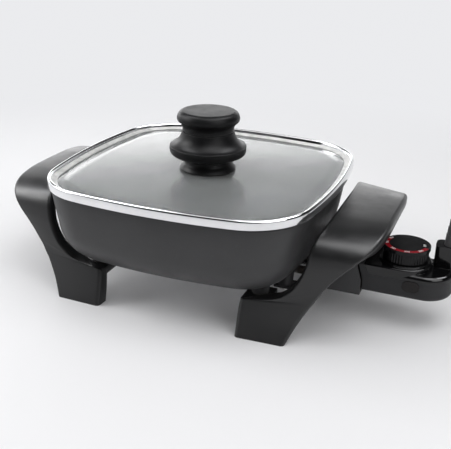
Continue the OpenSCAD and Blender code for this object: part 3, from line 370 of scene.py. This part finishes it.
LEAD_ROUTE = [
    relief_point(RELIEF_EXIT), relief_point(30), (192.9, 9.5, 104), (194.6, 9.6, 115),
    (198, 9.9, 127), (204.5, 10.5, 137.5), (214.5, 11.3, 145), (226.5, 12.2, 148),
    (238.5, 13.2, 145.5), (248.5, 14.2, 138), (254.8, 15.2, 127), (258, 16.3, 114),
    (261, 17.5, 100), (264.5, 19, 85), (268.5, 20.7, 70), (273.5, 23, 55),
    (279.5, 26, 41), (287, 30, 28), (295.5, 36, 17), (303, 44.5, 9.5), (308.2, 56, 5.2),
    (310.2, 70, COIL_LOW), (310.2, 84, COIL_LOW), (COIL_AT[0] + COIL_R, COIL_AT[1], COIL_LOW),
]
TAIL_ROUTE = [
    (COIL_AT[0] + COIL_R, COIL_AT[1], COIL_HIGH), (309.6, 108, 16), (306.5, 121, 12.5),
    (300, 133, 8), (290.5, 142, 5), (278, 147.5, 4.05),
    (268, PLUG_AT[1], PLUG_AT[2]), PLUG_AT,
]


def coil_turns():
    """The turns between the two routes, a cord's width apart in height."""
    steps = COIL_TURNS * POINTS_PER_TURN
    return [
        (COIL_AT[0] + COIL_R * math.cos(2 * math.pi * i / POINTS_PER_TURN),
         COIL_AT[1] + COIL_R * math.sin(2 * math.pi * i / POINTS_PER_TURN),
         COIL_LOW + (COIL_HIGH - COIL_LOW) * i / steps)
        for i in range(1, steps)
    ]


def tube(name, points, radius):
    """Round tube along points, its sides carried along without a twist."""
    sides = 20
    rings = []
    up = None
    for k, point in enumerate(points):
        ahead = Vector(points[min(k + 1, len(points) - 1)])
        behind = Vector(points[max(k - 1, 0)])
        along = (ahead - behind).normalized()
        if up is None:
            up = Vector((0, 1, 0)) if abs(along.z) > 0.7 else Vector((0, 0, 1))
        up = (up - up.dot(along) * along).normalized()
        across = up.cross(along)
        rings.append([
            Vector(point) + radius * (math.cos(2 * math.pi * i / sides) * across
                                      + math.sin(2 * math.pi * i / sides) * up)
            for i in range(sides)
        ])
    return loft(name, rings, degrees=60)


def make_cord(jacket):
    route = LEAD_ROUTE + coil_turns() + TAIL_ROUTE
    path = catmull(route, 4)
    cord = add("supply_cord", tube("supply_cord", path, CORD_D / 2), "control", jacket,
               ("cord", "cord_coil"))


# ------------------------------------------------------------------- outlines

ARC_STEPS = 32


def bowed_square(half, corner_r, bow_r):
    """A square with bowed sides and round corners, anticlockwise from above."""
    d, b = bow_r - corner_r, bow_r - half
    c = (math.sqrt(2 * d * d - b * b) - b) / 2
    swing = math.atan2(c, c + b)
    quarter = []
    for i in range(ARC_STEPS):
        a = -swing + 2 * swing * i / ARC_STEPS
        quarter.append((half - bow_r + bow_r * math.cos(a), bow_r * math.sin(a)))
    for i in range(ARC_STEPS):
        a = swing + (math.pi / 2 - 2 * swing) * i / ARC_STEPS
        quarter.append((c + corner_r * math.cos(a), c + corner_r * math.sin(a)))
    out = []
    for cos, sin in ((1, 0), (0, 1), (-1, 0), (0, -1)):
        out += [(x * cos - y * sin, x * sin + y * cos) for x, y in quarter]
    return out


# The pan's and the rim's sizes, as in the part's source
PAN_HALF = 102
PAN_CORNER_R = 38
SIDE_BOW_R = 420
CORNER_TAPER = 0.45
PAN_LIP_Z = 90.7
PAN_DRAFT = math.radians(8.5)
PAN_BASE_Z = 33.4
PAN_FLOOR_Z = 39.7
PAN_WALL = 3
RIM_HALF = 106
RIM_CORNER_R = 49.4
RIM_Z = PAN_LIP_Z + 0.3
RIM_TOP = RIM_Z + 8.2
# Fillets at the foot of the pan's wall, outside and inside
OUTER_FILLET_R = 32
INNER_FILLET_R = 27
# Bosses under the pan: places, and radius and height from the open end up
PAN_BOSS_X = 66
PAN_BOSS_Y = 55
PAN_BOSS = ((6.5, 28.5), (6.5, 30), (6.9, 34), (8.2, 38.9))
GUARD_BOSS_X = 76
GUARD_BOSS_Y = 29
GUARD_BOSS = ((6.5, 24.8), (6.5, 28), (6.9, 33), (8, 38.9))
# The rim's outer band as insets and heights above its foot, from below
RIM_BAND = ((2.6, 0), (1.2, 0.9), (0.5, 1.25), (0.1, 1.5), (0.0, 1.9), (0.0, 5.4), (0.05, 5.9))
# The arc rolled over on top, in steps of a half turn, and the last step it takes
ROLL_STEPS = 16
ROLL_LAST = 13
ROLL_INSET = 1.65
ROLL_HALF = 1.6
ROLL_RISE = 2.1
# The rim's inner wall, and the skirt that hangs inside the pan's mouth
RIM_WALL = ((3.2, RIM_TOP - 1.5), (3.2, RIM_Z + 1), (3.25, RIM_Z + 0.5))
RIM_SKIRT = ((5.6, 0.5), (5.0, 0.3), (4.9, -0.2), (4.95, -3.5), (4.45, -3.5), (4.4, -0.1),
             (4.3, 0))
# The pane: its lower and upper side at the border, the crown from the border to
# the raised middle, and the rounded edge
PANE_LOW = 91.9
PANE_HIGH = PANE_LOW + 3
PANE_CROWN = ((4.3, 0), (10.5, 0), (11.5, 0.03), (13.5, 0.25), (15.5, 0.48), (19, 0.5))
PANE_EDGE = ((3.9, PANE_LOW + 0.4), (3.8, PANE_LOW + 1.5), (3.9, PANE_HIGH - 0.4))
# The bead as insets and heights above the pane, from the rim's wall inwards
BEAD = ((3.2, 1.5), (3.4, 1.2), (4.1, 0.7), (5.6, 0.38), (7.0, 0.25), (7.3, 0.04),
        (3.85, 0.01), (3.25, -0.4))


def pan_ring(inset, z):
    outline = bowed_square(PAN_HALF - inset, PAN_CORNER_R - CORNER_TAPER * inset,
                           SIDE_BOW_R - inset)
    return [(x, y, z) for x, y in outline]


def rim_ring(inset, z):
    outline = bowed_square(RIM_HALF - inset, RIM_CORNER_R - inset,
                           SIDE_BOW_R + RIM_HALF - PAN_HALF - inset)
    return [(x, y, z) for x, y in outline]


def wall_profile(top_inset, bottom_z, fillet_r):
    """Wall and fillet of the pan as inset and height, from the base up."""
    steps = 20
    centre_z = bottom_z + fillet_r
    centre = (top_inset + (PAN_LIP_Z - centre_z) * math.tan(PAN_DRAFT)
              + fillet_r / math.cos(PAN_DRAFT))
    out = []
    for i in range(steps + 1):
        a = math.pi / 2 - (math.pi / 2 - PAN_DRAFT) * i / steps
        out.append((centre - fillet_r * math.cos(a), centre_z - fillet_r * math.sin(a)))
    return out


def make_boss(name, profile, x, y, coat):
    boss = turned(name, profile, (x, y), 48)
    add(name, boss, "pan_assembly", coat)


def make_pan(coat):
    thick = PAN_WALL / math.cos(PAN_DRAFT)
    outer = wall_profile(0, PAN_BASE_Z, OUTER_FILLET_R)
    inner = wall_profile(thick, PAN_FLOOR_Z, INNER_FILLET_R)
    lip = [(0.1, PAN_LIP_Z - 0.9), (0.35, PAN_LIP_Z - 0.3), (0.9, PAN_LIP_Z),
           (thick - 0.9, PAN_LIP_Z), (thick - 0.35, PAN_LIP_Z - 0.3),
           (thick + 0.1, PAN_LIP_Z - 0.9)]
    profile = outer + lip + inner[::-1]
    mesh = loft("pan_shell", [pan_ring(i, z) for i, z in profile], degrees=35)
    add("pan_shell", mesh, "pan_assembly", coat, ("pan",))
    for x in (-PAN_BOSS_X, PAN_BOSS_X):
        for y in (-PAN_BOSS_Y, PAN_BOSS_Y):
            make_boss("pan_boss", PAN_BOSS, x, y, coat)
    for y in (-GUARD_BOSS_Y, GUARD_BOSS_Y):
        make_boss("guard_boss", GUARD_BOSS, GUARD_BOSS_X, y, coat)


def make_rim(steel):
    """The lid's frame: an outer band turned in below and rolled over on top."""
    roll = []
    for k in range(1, ROLL_LAST + 1):
        a = math.pi * k / ROLL_STEPS
        roll.append((ROLL_INSET - ROLL_HALF * math.cos(a),
                     RIM_TOP - ROLL_RISE + ROLL_RISE * math.sin(a)))
    band = [(i, RIM_Z + h) for i, h in RIM_BAND]
    rings = [rim_ring(i, z) for i, z in (*band, *roll, *RIM_WALL)]
    rings += [pan_ring(i, RIM_Z + h) for i, h in RIM_SKIRT]
    mesh = loft("rim_frame", rings, closed=True, degrees=50)
    add("rim_frame", mesh, "lid", steel, ("lid_rim",))


def make_glass(glass):
    """The pane: flat border, a soft bend and a barely raised middle."""
    under = [(i, PANE_LOW + h) for i, h in reversed(PANE_CROWN)]
    over = [(i, PANE_HIGH + h) for i, h in PANE_CROWN]
    rings = [rim_ring(i, z) for i, z in (*under, *PANE_EDGE, *over)]
    mesh = loft("glass_pane", rings, degrees=50)
    add("glass_pane", mesh, "lid", glass, ("lid_glass",))


def make_bead(silicone):
    """Pale bead that fills the corner between the pane and the rim's inner wall."""
    rings = [rim_ring(i, PANE_HIGH + h) for i, h in BEAD]
    mesh = loft("rim_bead", rings, closed=True, degrees=50)
    add("rim_bead", mesh, "lid", silicone)


# Radius and height above the knob's foot: a flange with a crisp upper edge, a
# bell, the seam's groove, the neck and the head
KNOB_PROFILE = (
    (18.2, 0), (21, 0.15), (24.6, 0.8), (27.2, 1.8), (28.7, 2.9), (29.35, 4), (29.65, 5.2),
    (29.8, 6.8), (29.75, 8.2), (29.68, 8.8), (29.45, 9.1), (29.1, 9.2), (27.9, 9.5), (26.7, 10.1),
    (25.4, 11), (24.2, 12.1), (23.1, 13.4), (22.2, 14.8), (21.5, 16.2), (20.95, 17.6),
    (20.5, 19), (20.25, 20.1), (20.2, 20.3), (19.2, 20.5), (19.2, 20.95), (19.9, 21.1),
    (19.85, 22), (19.82, 23), (19.95, 23.9), (20.25, 24.7), (20.65, 25.4), (21.1, 26),
    (21.6, 26.6), (22.15, 27.15), (22.75, 27.65), (23.35, 28.2), (23.8, 28.8), (24.05, 29.4),
    (24.16, 30), (24.17, 30.66), (24.1, 31.3), (23.9, 32.05), (23.6, 32.8), (23.25, 33.55),
    (22.9, 34.15), (22.5, 34.65), (22.05, 35.03), (21.6, 35.33), (21.2, 35.55), (20.75, 35.74),
    (20.35, 35.87), (19.95, 35.95), (19.4, 36), (17, 36), (6, 36),
)


def make_knob(moulding):
    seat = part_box("knob")[0][2] * 1000
    profile = [(r, seat + height) for r, height in KNOB_PROFILE]
    mesh = turned("knob_body", profile, (0, 0))
    add("knob_body", mesh, "lid", moulding, ("knob",))


# -------------------------------------------------------------------- handles

# The handles' sizes, as in the part's source
GRIP_REACH = 48
GRIP_BACK = 13
FOOT_HALF = 80
GRIP_Z = 82.5
FOOT_T = 12.8
GRIP_T = 9
EDGE_R = 3
# Height above the floor over which the feet's sides turn upright
FOOT_FADE = 25
# Lugs that the handle's screws pass, and the rib under the grip
LUG_X = (56, 76)
LUG_Y = (45, 70)
LUG_Z = (20.5, 27.5)
RIB_X = (107.5, 111.5)
RIB_Y = (-28, 28)
RIB_Z = (66.5, 77.5)
# From foot to grip: inner and outer edge from the pan's mouth, as a share of
# the reach on the outer edge, then inner and outer distance from the middle as
# a share of half the feet's span, heights as a share of the grip's, and how
# far the thickness has gone from the foot's to the grip's.
STRAP_ROWS = [
    (-46.7, -0.195, 1.000, 0.982, 0.000, 0.000, 0.0),
    (-46.4, -0.080, 0.956, 0.922, 0.165, 0.155, 0.2),
    (-45.8, 0.060, 0.914, 0.876, 0.310, 0.315, 0.5),
    (-43.0, 0.130, 0.905, 0.860, 0.340, 0.375, 0.6),
    (-33.0, 0.200, 0.895, 0.847, 0.352, 0.445, 0.7),
    (-20.0, 0.290, 0.885, 0.836, 0.385, 0.520, 0.8),
    (-10.0, 0.390, 0.877, 0.826, 0.475, 0.600, 0.9),
    (-4.0, 0.510, 0.868, 0.814, 0.595, 0.680, 1.0),
    (-0.6, 0.650, 0.853, 0.795, 0.725, 0.760, 1.0),
    (1.0, 0.780, 0.822, 0.752, 0.850, 0.835, 1.0),
    (2.5, 0.890, 0.745, 0.665, 0.940, 0.905, 1.0),
    (4.0, 0.965, 0.590, 0.520, 0.983, 0.960, 1.0),
    (4.8, 0.995, 0.360, 0.320, 0.995, 0.990, 1.0),
    (5.0, 1.000, 0.120, 0.110, 1.000, 1.000, 1.0),
]


def strap_stations():
    """Edges and thickness of the strap from its front foot over to its back one."""
    def station(row, side):
        back = GRIP_BACK if side > 0 else 0
        return (PAN_HALF + row[0], side * row[2] * FOOT_HALF + back * row[4] ** 2,
                row[4] * GRIP_Z,
                PAN_HALF + row[1] * GRIP_REACH, side * row[3] * FOOT_HALF + back * row[5] ** 2,
                row[5] * GRIP_Z,
                FOOT_T + (GRIP_T - FOOT_T) * row[6])

    rows = [station(r, -1) for r in STRAP_ROWS] + [station(r, 1) for r in reversed(STRAP_ROWS)]
    return catmull(rows, 8)


def strap_section(inner, outer, out, thick):
    """Rounded band hung under the top skin."""
    arc = 7
    across = outer - inner
    width = across.length
    across.normalize()
    r = min(EDGE_R, thick / 2 - 0.2)
    corners = [(r, -r, 180), (width - r, -r, 90), (width - r, r - thick, 0), (r, r - thick, -90)]
    ring = []
    for u, v, start in corners:
        for i in range(arc):
            a = math.radians(start - 90 * i / (arc - 1))
            ring.append(inner + (u + r * math.cos(a)) * across + (v + r * math.sin(a)) * out)
    return ring


def strap_rings(mirror):
    stations = strap_stations()
    inner = [Vector(s[:3]) for s in stations]
    outer = [Vector(s[3:6]) for s in stations]
    mid = [(a + b) / 2 for a, b in zip(inner, outer)]
    last = len(stations) - 1
    rings = []
    for k, station in enumerate(stations):
        along = mid[min(k + 1, last)] - mid[max(k - 1, 0)]
        out = (outer[k] - inner[k]).cross(along)
        out.z *= min(1, mid[k].z / FOOT_FADE)
        out.normalize()
        ring = strap_section(inner[k], outer[k], out, station[6])
        rings.append([(mirror * p.x, p.y, p.z) for p in ring])
    return rings


def block(name, low, high, bevel=0.8):
    """Box with rounded edges."""
    made = bmesh.new()
    bmesh.ops.create_cube(made, size=1)
    size = Vector(high) - Vector(low)
    centre = (Vector(high) + Vector(low)) / 2
    for v in made.verts:
        v.co = Vector((v.co.x * size.x, v.co.y * size.y, v.co.z * size.z)) + centre
    bmesh.ops.bevel(made, geom=made.edges[:] + made.verts[:], offset=bevel, segments=3,
                    profile=0.5, affect="EDGES")
    for v in made.verts:
        v.co = metres(v.co)
    mesh = bpy.data.meshes.new(name)
    made.to_mesh(mesh)
    made.free()
    smooth_edges(mesh, 30)
    return mesh


def make_handle(side, mirror, phenolic):
    node = "handle_" + side
    mesh = loft(node + "_strap", strap_rings(mirror), degrees=50)
    add(node + "_strap", mesh, "pan_assembly", phenolic, (node,))
    x0, x1 = sorted(mirror * x for x in LUG_X)
    for y0, y1 in ((-LUG_Y[1], -LUG_Y[0]), LUG_Y):
        lug = block(node + "_lug", (x0, y0, LUG_Z[0]), (x1, y1, LUG_Z[1]))
        add(node + "_lug", lug, "pan_assembly", phenolic)
    x0, x1 = sorted(mirror * x for x in RIB_X)
    rib = block(node + "_rib", (x0, RIB_Y[0], RIB_Z[0]), (x1, RIB_Y[1], RIB_Z[1]), bevel=1.2)
    add(node + "_rib", rib, "pan_assembly", phenolic)


# ---------------------------------------------------------------- dial's print

DIAL_X = middle("dial", 0)
DIAL_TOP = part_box("dial_plate")[1][2]
# Inner and outer radius of the printed band, its first and last angle, and its
# lower and upper side above the plate
BAND_R = (12.9, 16.2)
BAND_SPAN = (150, 350)
BAND_Z = (0.02, 0.05)
# Half the print's thickness, how much its strokes gain, and its middle's height
PRINT_HALF = 0.02
PRINT_GAIN = 0.06
PRINT_Z = 0.09
NUMBERS = ((152, "400"), (189, "350"), (236, "300"), (279, "250"), (321, "200"))
NUMBER_SIZE = 2.7
NUMBER_R = 14.5
OFF_SIZE = 2.6
OFF_R = 12.7
OFF_ANGLE = 9


def dial_band(material):
    """Thin printed band on the dial."""
    steps = 64
    rings = []
    for i in range(steps + 1):
        a = math.radians(BAND_SPAN[0] + (BAND_SPAN[1] - BAND_SPAN[0]) * i / steps)
        rings.append([
            (r * math.cos(a), r * math.sin(a), z)
            for r, z in ((BAND_R[0], BAND_Z[0]), (BAND_R[1], BAND_Z[0]),
                         (BAND_R[1], BAND_Z[1]), (BAND_R[0], BAND_Z[1]))
        ])
    mesh = loft("dial_band", rings)
    mesh.transform(Matrix.Translation((DIAL_X - PAN_X, 0, DIAL_TOP)))
    add("dial_band", mesh, "dial_assembly", material)


def dial_word(name, word, size, radius, angle, material):
    """Generic mark on the dial, such as a number, read from the dial's rim."""
    curve = bpy.data.curves.new(name, "FONT")
    curve.body = word
    curve.size = size / 1000
    curve.align_x = "CENTER"
    curve.align_y = "CENTER"
    curve.extrude = PRINT_HALF / 1000
    curve.offset = PRINT_GAIN / 1000
    text = bpy.data.objects.new(name, curve)
    a = math.radians(angle)
    text.location = (DIAL_X + radius / 1000 * math.cos(a), radius / 1000 * math.sin(a),
                     DIAL_TOP + PRINT_Z / 1000)
    text.rotation_euler = (0, 0, math.radians(angle + 90))
    bpy.context.scene.collection.objects.link(text)
    bpy.context.view_layer.update()
    mesh = bpy.data.meshes.new_from_object(text)
    mesh.transform(text.matrix_world)
    bpy.data.objects.remove(text)
    add(name, mesh, "dial_assembly", material)


def make_dial_print(red, white):
    dial_band(red)
    for k, (angle, word) in enumerate(NUMBERS):
        dial_word("dial_number_%d" % k, word, NUMBER_SIZE, NUMBER_R, angle, white)
    dial_word("dial_off", "OFF", OFF_SIZE, OFF_R, OFF_ANGLE, white)


# ------------------------------------------------------------------- dressing

def paint(material, *names):
    """Give CAD nodes a material."""
    for name in names:
        mesh = nodes[name].data
        mesh.materials.clear()
        mesh.materials.append(material)


def area_light(name, at, aim, size, power):
    data = bpy.data.lights.new(name, "AREA")
    data.shape = "RECTANGLE"
    data.size, data.size_y = size
    data.energy = power
    lamp = bpy.data.objects.new(name, data)
    lamp.location = at
    lamp.rotation_euler = (Vector(aim) - Vector(at)).to_track_quat("-Z", "Y").to_euler()
    bpy.context.scene.collection.objects.link(lamp)


WORLD_FILL = 0.36
BACKDROP = (0.83, 0.835, 0.855)
# What gloss shows of the room: brightness by height, and by side along a line
# from the dim front right to the bright back left
ROOM_BY_HEIGHT = ((0.0, 1.1), (0.24, 1.1), (0.35, 0.12), (0.8, 0.12))
ROOM_BY_SIDE = ((0.05, 0.08), (0.46, 0.12), (0.58, 0.9), (0.86, 0.95), (0.96, 1.5))
BRIGHT_SIDE = (-0.85, 0.5, 0)
# Softboxes seen in gloss: the way to each, and brightness by the cosine from it
SOFTBOXES = (
    ((0.352, -0.203, 0.914), ((0.85, 0.0), (0.92, 3.0))),
    ((-0.843, -0.089, 0.53), ((0.93, 0.0), (0.97, 2.5))),
    ((-0.557, 0.054, 0.828), ((0.965, 0.0), (0.99, 11.0))),
    ((0.378, 0.417, 0.826), ((0.965, 0.0), (0.99, 11.0))),
)
# Place, what it is aimed at, width and height in metres, and power in watts
LAMPS = {
    "key_right": ((0.5, -0.15, 1.2), (0, 0, 0.05), (0.9, 0.8), 3.8),
    "top_panel": ((-0.05, -0.4, 1.4), (0, -0.05, 0.05), (1.4, 1.1), 4.7),
    "left_panel": ((-1.08, -0.29, 0.74), (0, 0, 0.07), (0.8, 0.4), 7.0),
    "right_panel": ((0.95, -0.5, 0.6), (0.15, 0, 0), (0.8, 0.4), 2.8),
    "back_panel": ((-0.95, 1.35, 0.38), (0, 0, 0.2), (2.4, 0.44), 7.2),
}
# Half the floor's side, and where it starts and ends to fade, in metres
FLOOR_HALF = 12.0
FADE_FROM = 0.26
FADE_TO = 0.7


def make_world():
    """Even fill, and a room seen in gloss: low bright walls, dark above."""
    world = bpy.data.worlds.new("studio")
    bpy.context.scene.world = world
    world.use_nodes = True
    tree = world.node_tree

    def node(kind, **values):
        made = tree.nodes.new(kind)
        for key, value in values.items():
            setattr(made, key, value)
        return made

    def maths(operation, first, second):
        made = node("ShaderNodeMath", operation=operation)
        for socket, source in zip(made.inputs, (first, second)):
            if isinstance(source, float):
                socket.default_value = source
            else:
                tree.links.new(source, socket)
        return made.outputs[0]

    def along(source, way):
        made = node("ShaderNodeVectorMath", operation="DOT_PRODUCT")
        made.inputs[1].default_value = way
        tree.links.new(source, made.inputs[0])
        return made.outputs["Value"]

    def ramp(source, stops):
        made = node("ShaderNodeValToRGB")
        points = made.color_ramp.elements
        while len(points) < len(stops):
            points.new(1.0)
        for point, (place, value) in zip(points, stops):
            point.position = place
            point.color = (value, value, value, 1)
        tree.links.new(source, made.inputs["Fac"])
        return made.outputs["Color"]

    def mixed(factor, first, second):
        made = node("ShaderNodeMixShader")
        tree.links.new(factor, made.inputs[0])
        tree.links.new(first.outputs[0], made.inputs[1])
        tree.links.new(second.outputs[0], made.inputs[2])
        return made

    fill = tree.nodes["Background"]
    fill.inputs["Color"].default_value = (1, 1, 1, 1)
    fill.inputs["Strength"].default_value = WORLD_FILL
    place = node("ShaderNodeTexCoord").outputs["Generated"]
    axes = node("ShaderNodeSeparateXYZ")
    tree.links.new(place, axes.inputs[0])
    side = maths("MULTIPLY", maths("ADD", along(place, BRIGHT_SIDE), 1.0), 0.5)
    room = node("ShaderNodeBackground")
    room.inputs["Color"].default_value = (*BACKDROP, 1)
    level = maths("MULTIPLY", ramp(axes.outputs["Z"], ROOM_BY_HEIGHT), ramp(side, ROOM_BY_SIDE))
    for way, stops in SOFTBOXES:
        level = maths("ADD", level, ramp(along(place, way), stops))
    tree.links.new(level, room.inputs["Strength"])
    path = node("ShaderNodeLightPath")
    gloss = maths("MAXIMUM", path.outputs["Is Glossy Ray"], path.outputs["Is Transmission Ray"])
    plain = node("ShaderNodeBackground")
    plain.inputs["Color"].default_value = (*BACKDROP, 1)
    lit = mixed(gloss, fill, room)
    seen = mixed(path.outputs["Is Camera Ray"], lit, plain)
    tree.links.new(seen.outputs[0], tree.nodes["World Output"].inputs["Surface"])


def floor_paper():
    """Pale paper that is lit near the object and fades to the even backdrop."""
    g = Graph("floor_paper")
    tone = g.spread(g.noise(3, 3), 0, 1)
    g.link(g.blend(tone, (0.865, 0.865, 0.88), (0.88, 0.88, 0.895)),
           g.shader.inputs["Base Color"])
    g.set(Roughness=0.6, Specular_IOR_Level=0.2)
    far = g.node("ShaderNodeEmission", Strength=1.0)
    far.inputs["Color"].default_value = (*BACKDROP, 1)
    place = g.node("ShaderNodeTexCoord")
    distance = g.node("ShaderNodeVectorMath", operation="LENGTH")
    g.link(place.outputs["Object"], distance.inputs[0])
    fade = g.node("ShaderNodeMapRange", interpolation_type="SMOOTHSTEP")
    fade.inputs["From Min"].default_value = FADE_FROM
    fade.inputs["From Max"].default_value = FADE_TO
    g.link(distance.outputs["Value"], fade.inputs["Value"])
    path = g.node("ShaderNodeLightPath")
    seen = path.outputs["Is Camera Ray"]
    for ray in ("Is Glossy Ray", "Is Transmission Ray"):
        either = g.node("ShaderNodeMath", operation="MAXIMUM")
        g.link(seen, either.inputs[0])
        g.link(path.outputs[ray], either.inputs[1])
        seen = either.outputs[0]
    amount = g.node("ShaderNodeMath", operation="MULTIPLY")
    g.link(seen, amount.inputs[0])
    g.link(fade.outputs["Result"], amount.inputs[1])
    mix = g.node("ShaderNodeMixShader")
    g.link(amount.outputs[0], mix.inputs[0])
    g.link(g.shader.outputs[0], mix.inputs[1])
    g.link(far.outputs[0], mix.inputs[2])
    g.link(mix.outputs[0], g.output.inputs["Surface"])
    return g.material


def make_stage():
    h = FLOOR_HALF
    mesh = bpy.data.meshes.new("floor")
    mesh.from_pydata([(-h, -h, 0), (h, -h, 0), (h, h, 0), (-h, h, 0)], [], [(0, 1, 2, 3)])
    mesh.materials.append(floor_paper())
    floor = bpy.data.objects.new("floor", mesh)
    bpy.context.scene.collection.objects.link(floor)
    for name, (at, aim, size, power) in LAMPS.items():
        area_light(name, at, aim, size, power)


def dress_pan_and_lid():
    make_pan(nonstick("nonstick_coat", (0.033, 0.033, 0.0343), 0.42))
    make_rim(metal("polished_steel", (0.82, 0.82, 0.83), 0.1, scale=500, depth=0.002))
    make_glass(clear_glass("lid_pane"))
    make_bead(rubber("bead_silicone", (0.62, 0.62, 0.61), 0.45))
    # The handles' lighter edge colour is partly rubbing and partly a painted highlight along the
    # strap's edges
    phenolic = plastic("handle_phenolic", (0.01, 0.01, 0.0105), 0.34, rubbed_edge_and_highlight_colour=(0.07, 0.07, 0.07),
                       shine=0.5)
    make_handle("left", -1, phenolic)
    make_handle("right", 1, phenolic)
    # The knob's light edge colour paints a highlight line along the flange's crisp edge, besides
    # some rubbing
    knob_black = plastic("knob_phenolic", (0.0055, 0.0055, 0.006), 0.38, rubbed_edge_and_highlight_colour=(0.14, 0.14, 0.14),
                         shine=0.17)
    make_knob(knob_black)
    paint(knob_black, "knob_foot")
    paint(metal("cast_aluminium", (0.6, 0.6, 0.61), 0.5, scale=700, depth=0.05),
          "heat_spreader")
    paint(metal("element_sheath", (0.26, 0.25, 0.24), 0.45, stretch=(1, 1, 4)),
          "heating_element")
    paint(ceramic("ceramic_brown", (0.06, 0.05, 0.042)), "terminal_bushes")
    paint(ceramic("washer_fibre", (0.05, 0.048, 0.045)), "heat_washers")
    paint(plastic("guard_plastic", (0.05, 0.05, 0.052), 0.5), "socket_guard")
    paint(rubber("silicone", (0.22, 0.22, 0.22), 0.6), "lid_seal", "knob_seal")


def dress_control(jacket):
    paint(plastic("control_matte", (0.022, 0.022, 0.0235), 0.52), "lower_housing")
    paint(plastic("control_gloss", (0.004, 0.004, 0.0045), 0.11, grain=600, depth=0.003,
                  shine=0.42), "upper_housing", "dial_bezel")
    paint(plastic("dial_gloss", (0.005, 0.005, 0.0055), 0.2, grain=600, depth=0.004,
                  shine=0.2), "dial")
    paint(plastic("dial_black", (0.006, 0.006, 0.0065), 0.5, depth=0.008, shine=0.02),
          "dial_plate")
    paint(plastic("block_resin", (0.022, 0.016, 0.013), 0.6), "terminal_block")
    paint(metal("spring_copper", (0.7, 0.42, 0.28), 0.32, stretch=(8, 1, 1)),
          "bimetal_blade", "contact_arm")
    paint(translucent("red_lens", (0.004, 0.0012, 0.0012)), "indicator_lens")
    paint(translucent("neon_lamp", (0.9, 0.6, 0.35)), "indicator_lamp")
    paint(ceramic("glass_sleeving", (0.8, 0.8, 0.76)), "lead_wires")
    paint(rubber("relief_rubber", (0.04, 0.04, 0.042)), "strain_relief")
    paint(jacket, "cord_tie", "plug_body")
    red = plastic("print_red", (0.27, 0.002, 0.009), 0.5, depth=0.004, shine=0.05)
    white = plastic("print_white", (0.85, 0.85, 0.85), 0.45, depth=0.004)
    make_dial_print(red, white)


def dress_hardware():
    """Metal parts that several bodies share."""
    paint(metal("plated_steel", (0.68, 0.68, 0.69), 0.25, stretch=(1, 6, 6)),
          "terminal_pins", "sensing_rod", "dial_shaft", "thermostat_frame")
    paint(metal("zinc_screws", (0.6, 0.6, 0.58), 0.35),
          "handle_screws", "guard_screws", "housing_screws", "knob_screw", "knob_washer",
          "contacts")
    paint(metal("brass", (0.7, 0.52, 0.25), 0.3, stretch=(1, 1, 5)),
          "knob_insert", "female_terminals", "shaft_bushing", "plug_blades")


def main():
    bpy.context.scene.view_settings.view_transform = "Standard"
    make_camera()
    jacket = rubber("cord_jacket", (0.022, 0.022, 0.023))
    make_cord(jacket)
    dress_pan_and_lid()
    dress_control(jacket)
    dress_hardware()
    make_world()
    make_stage()


main()
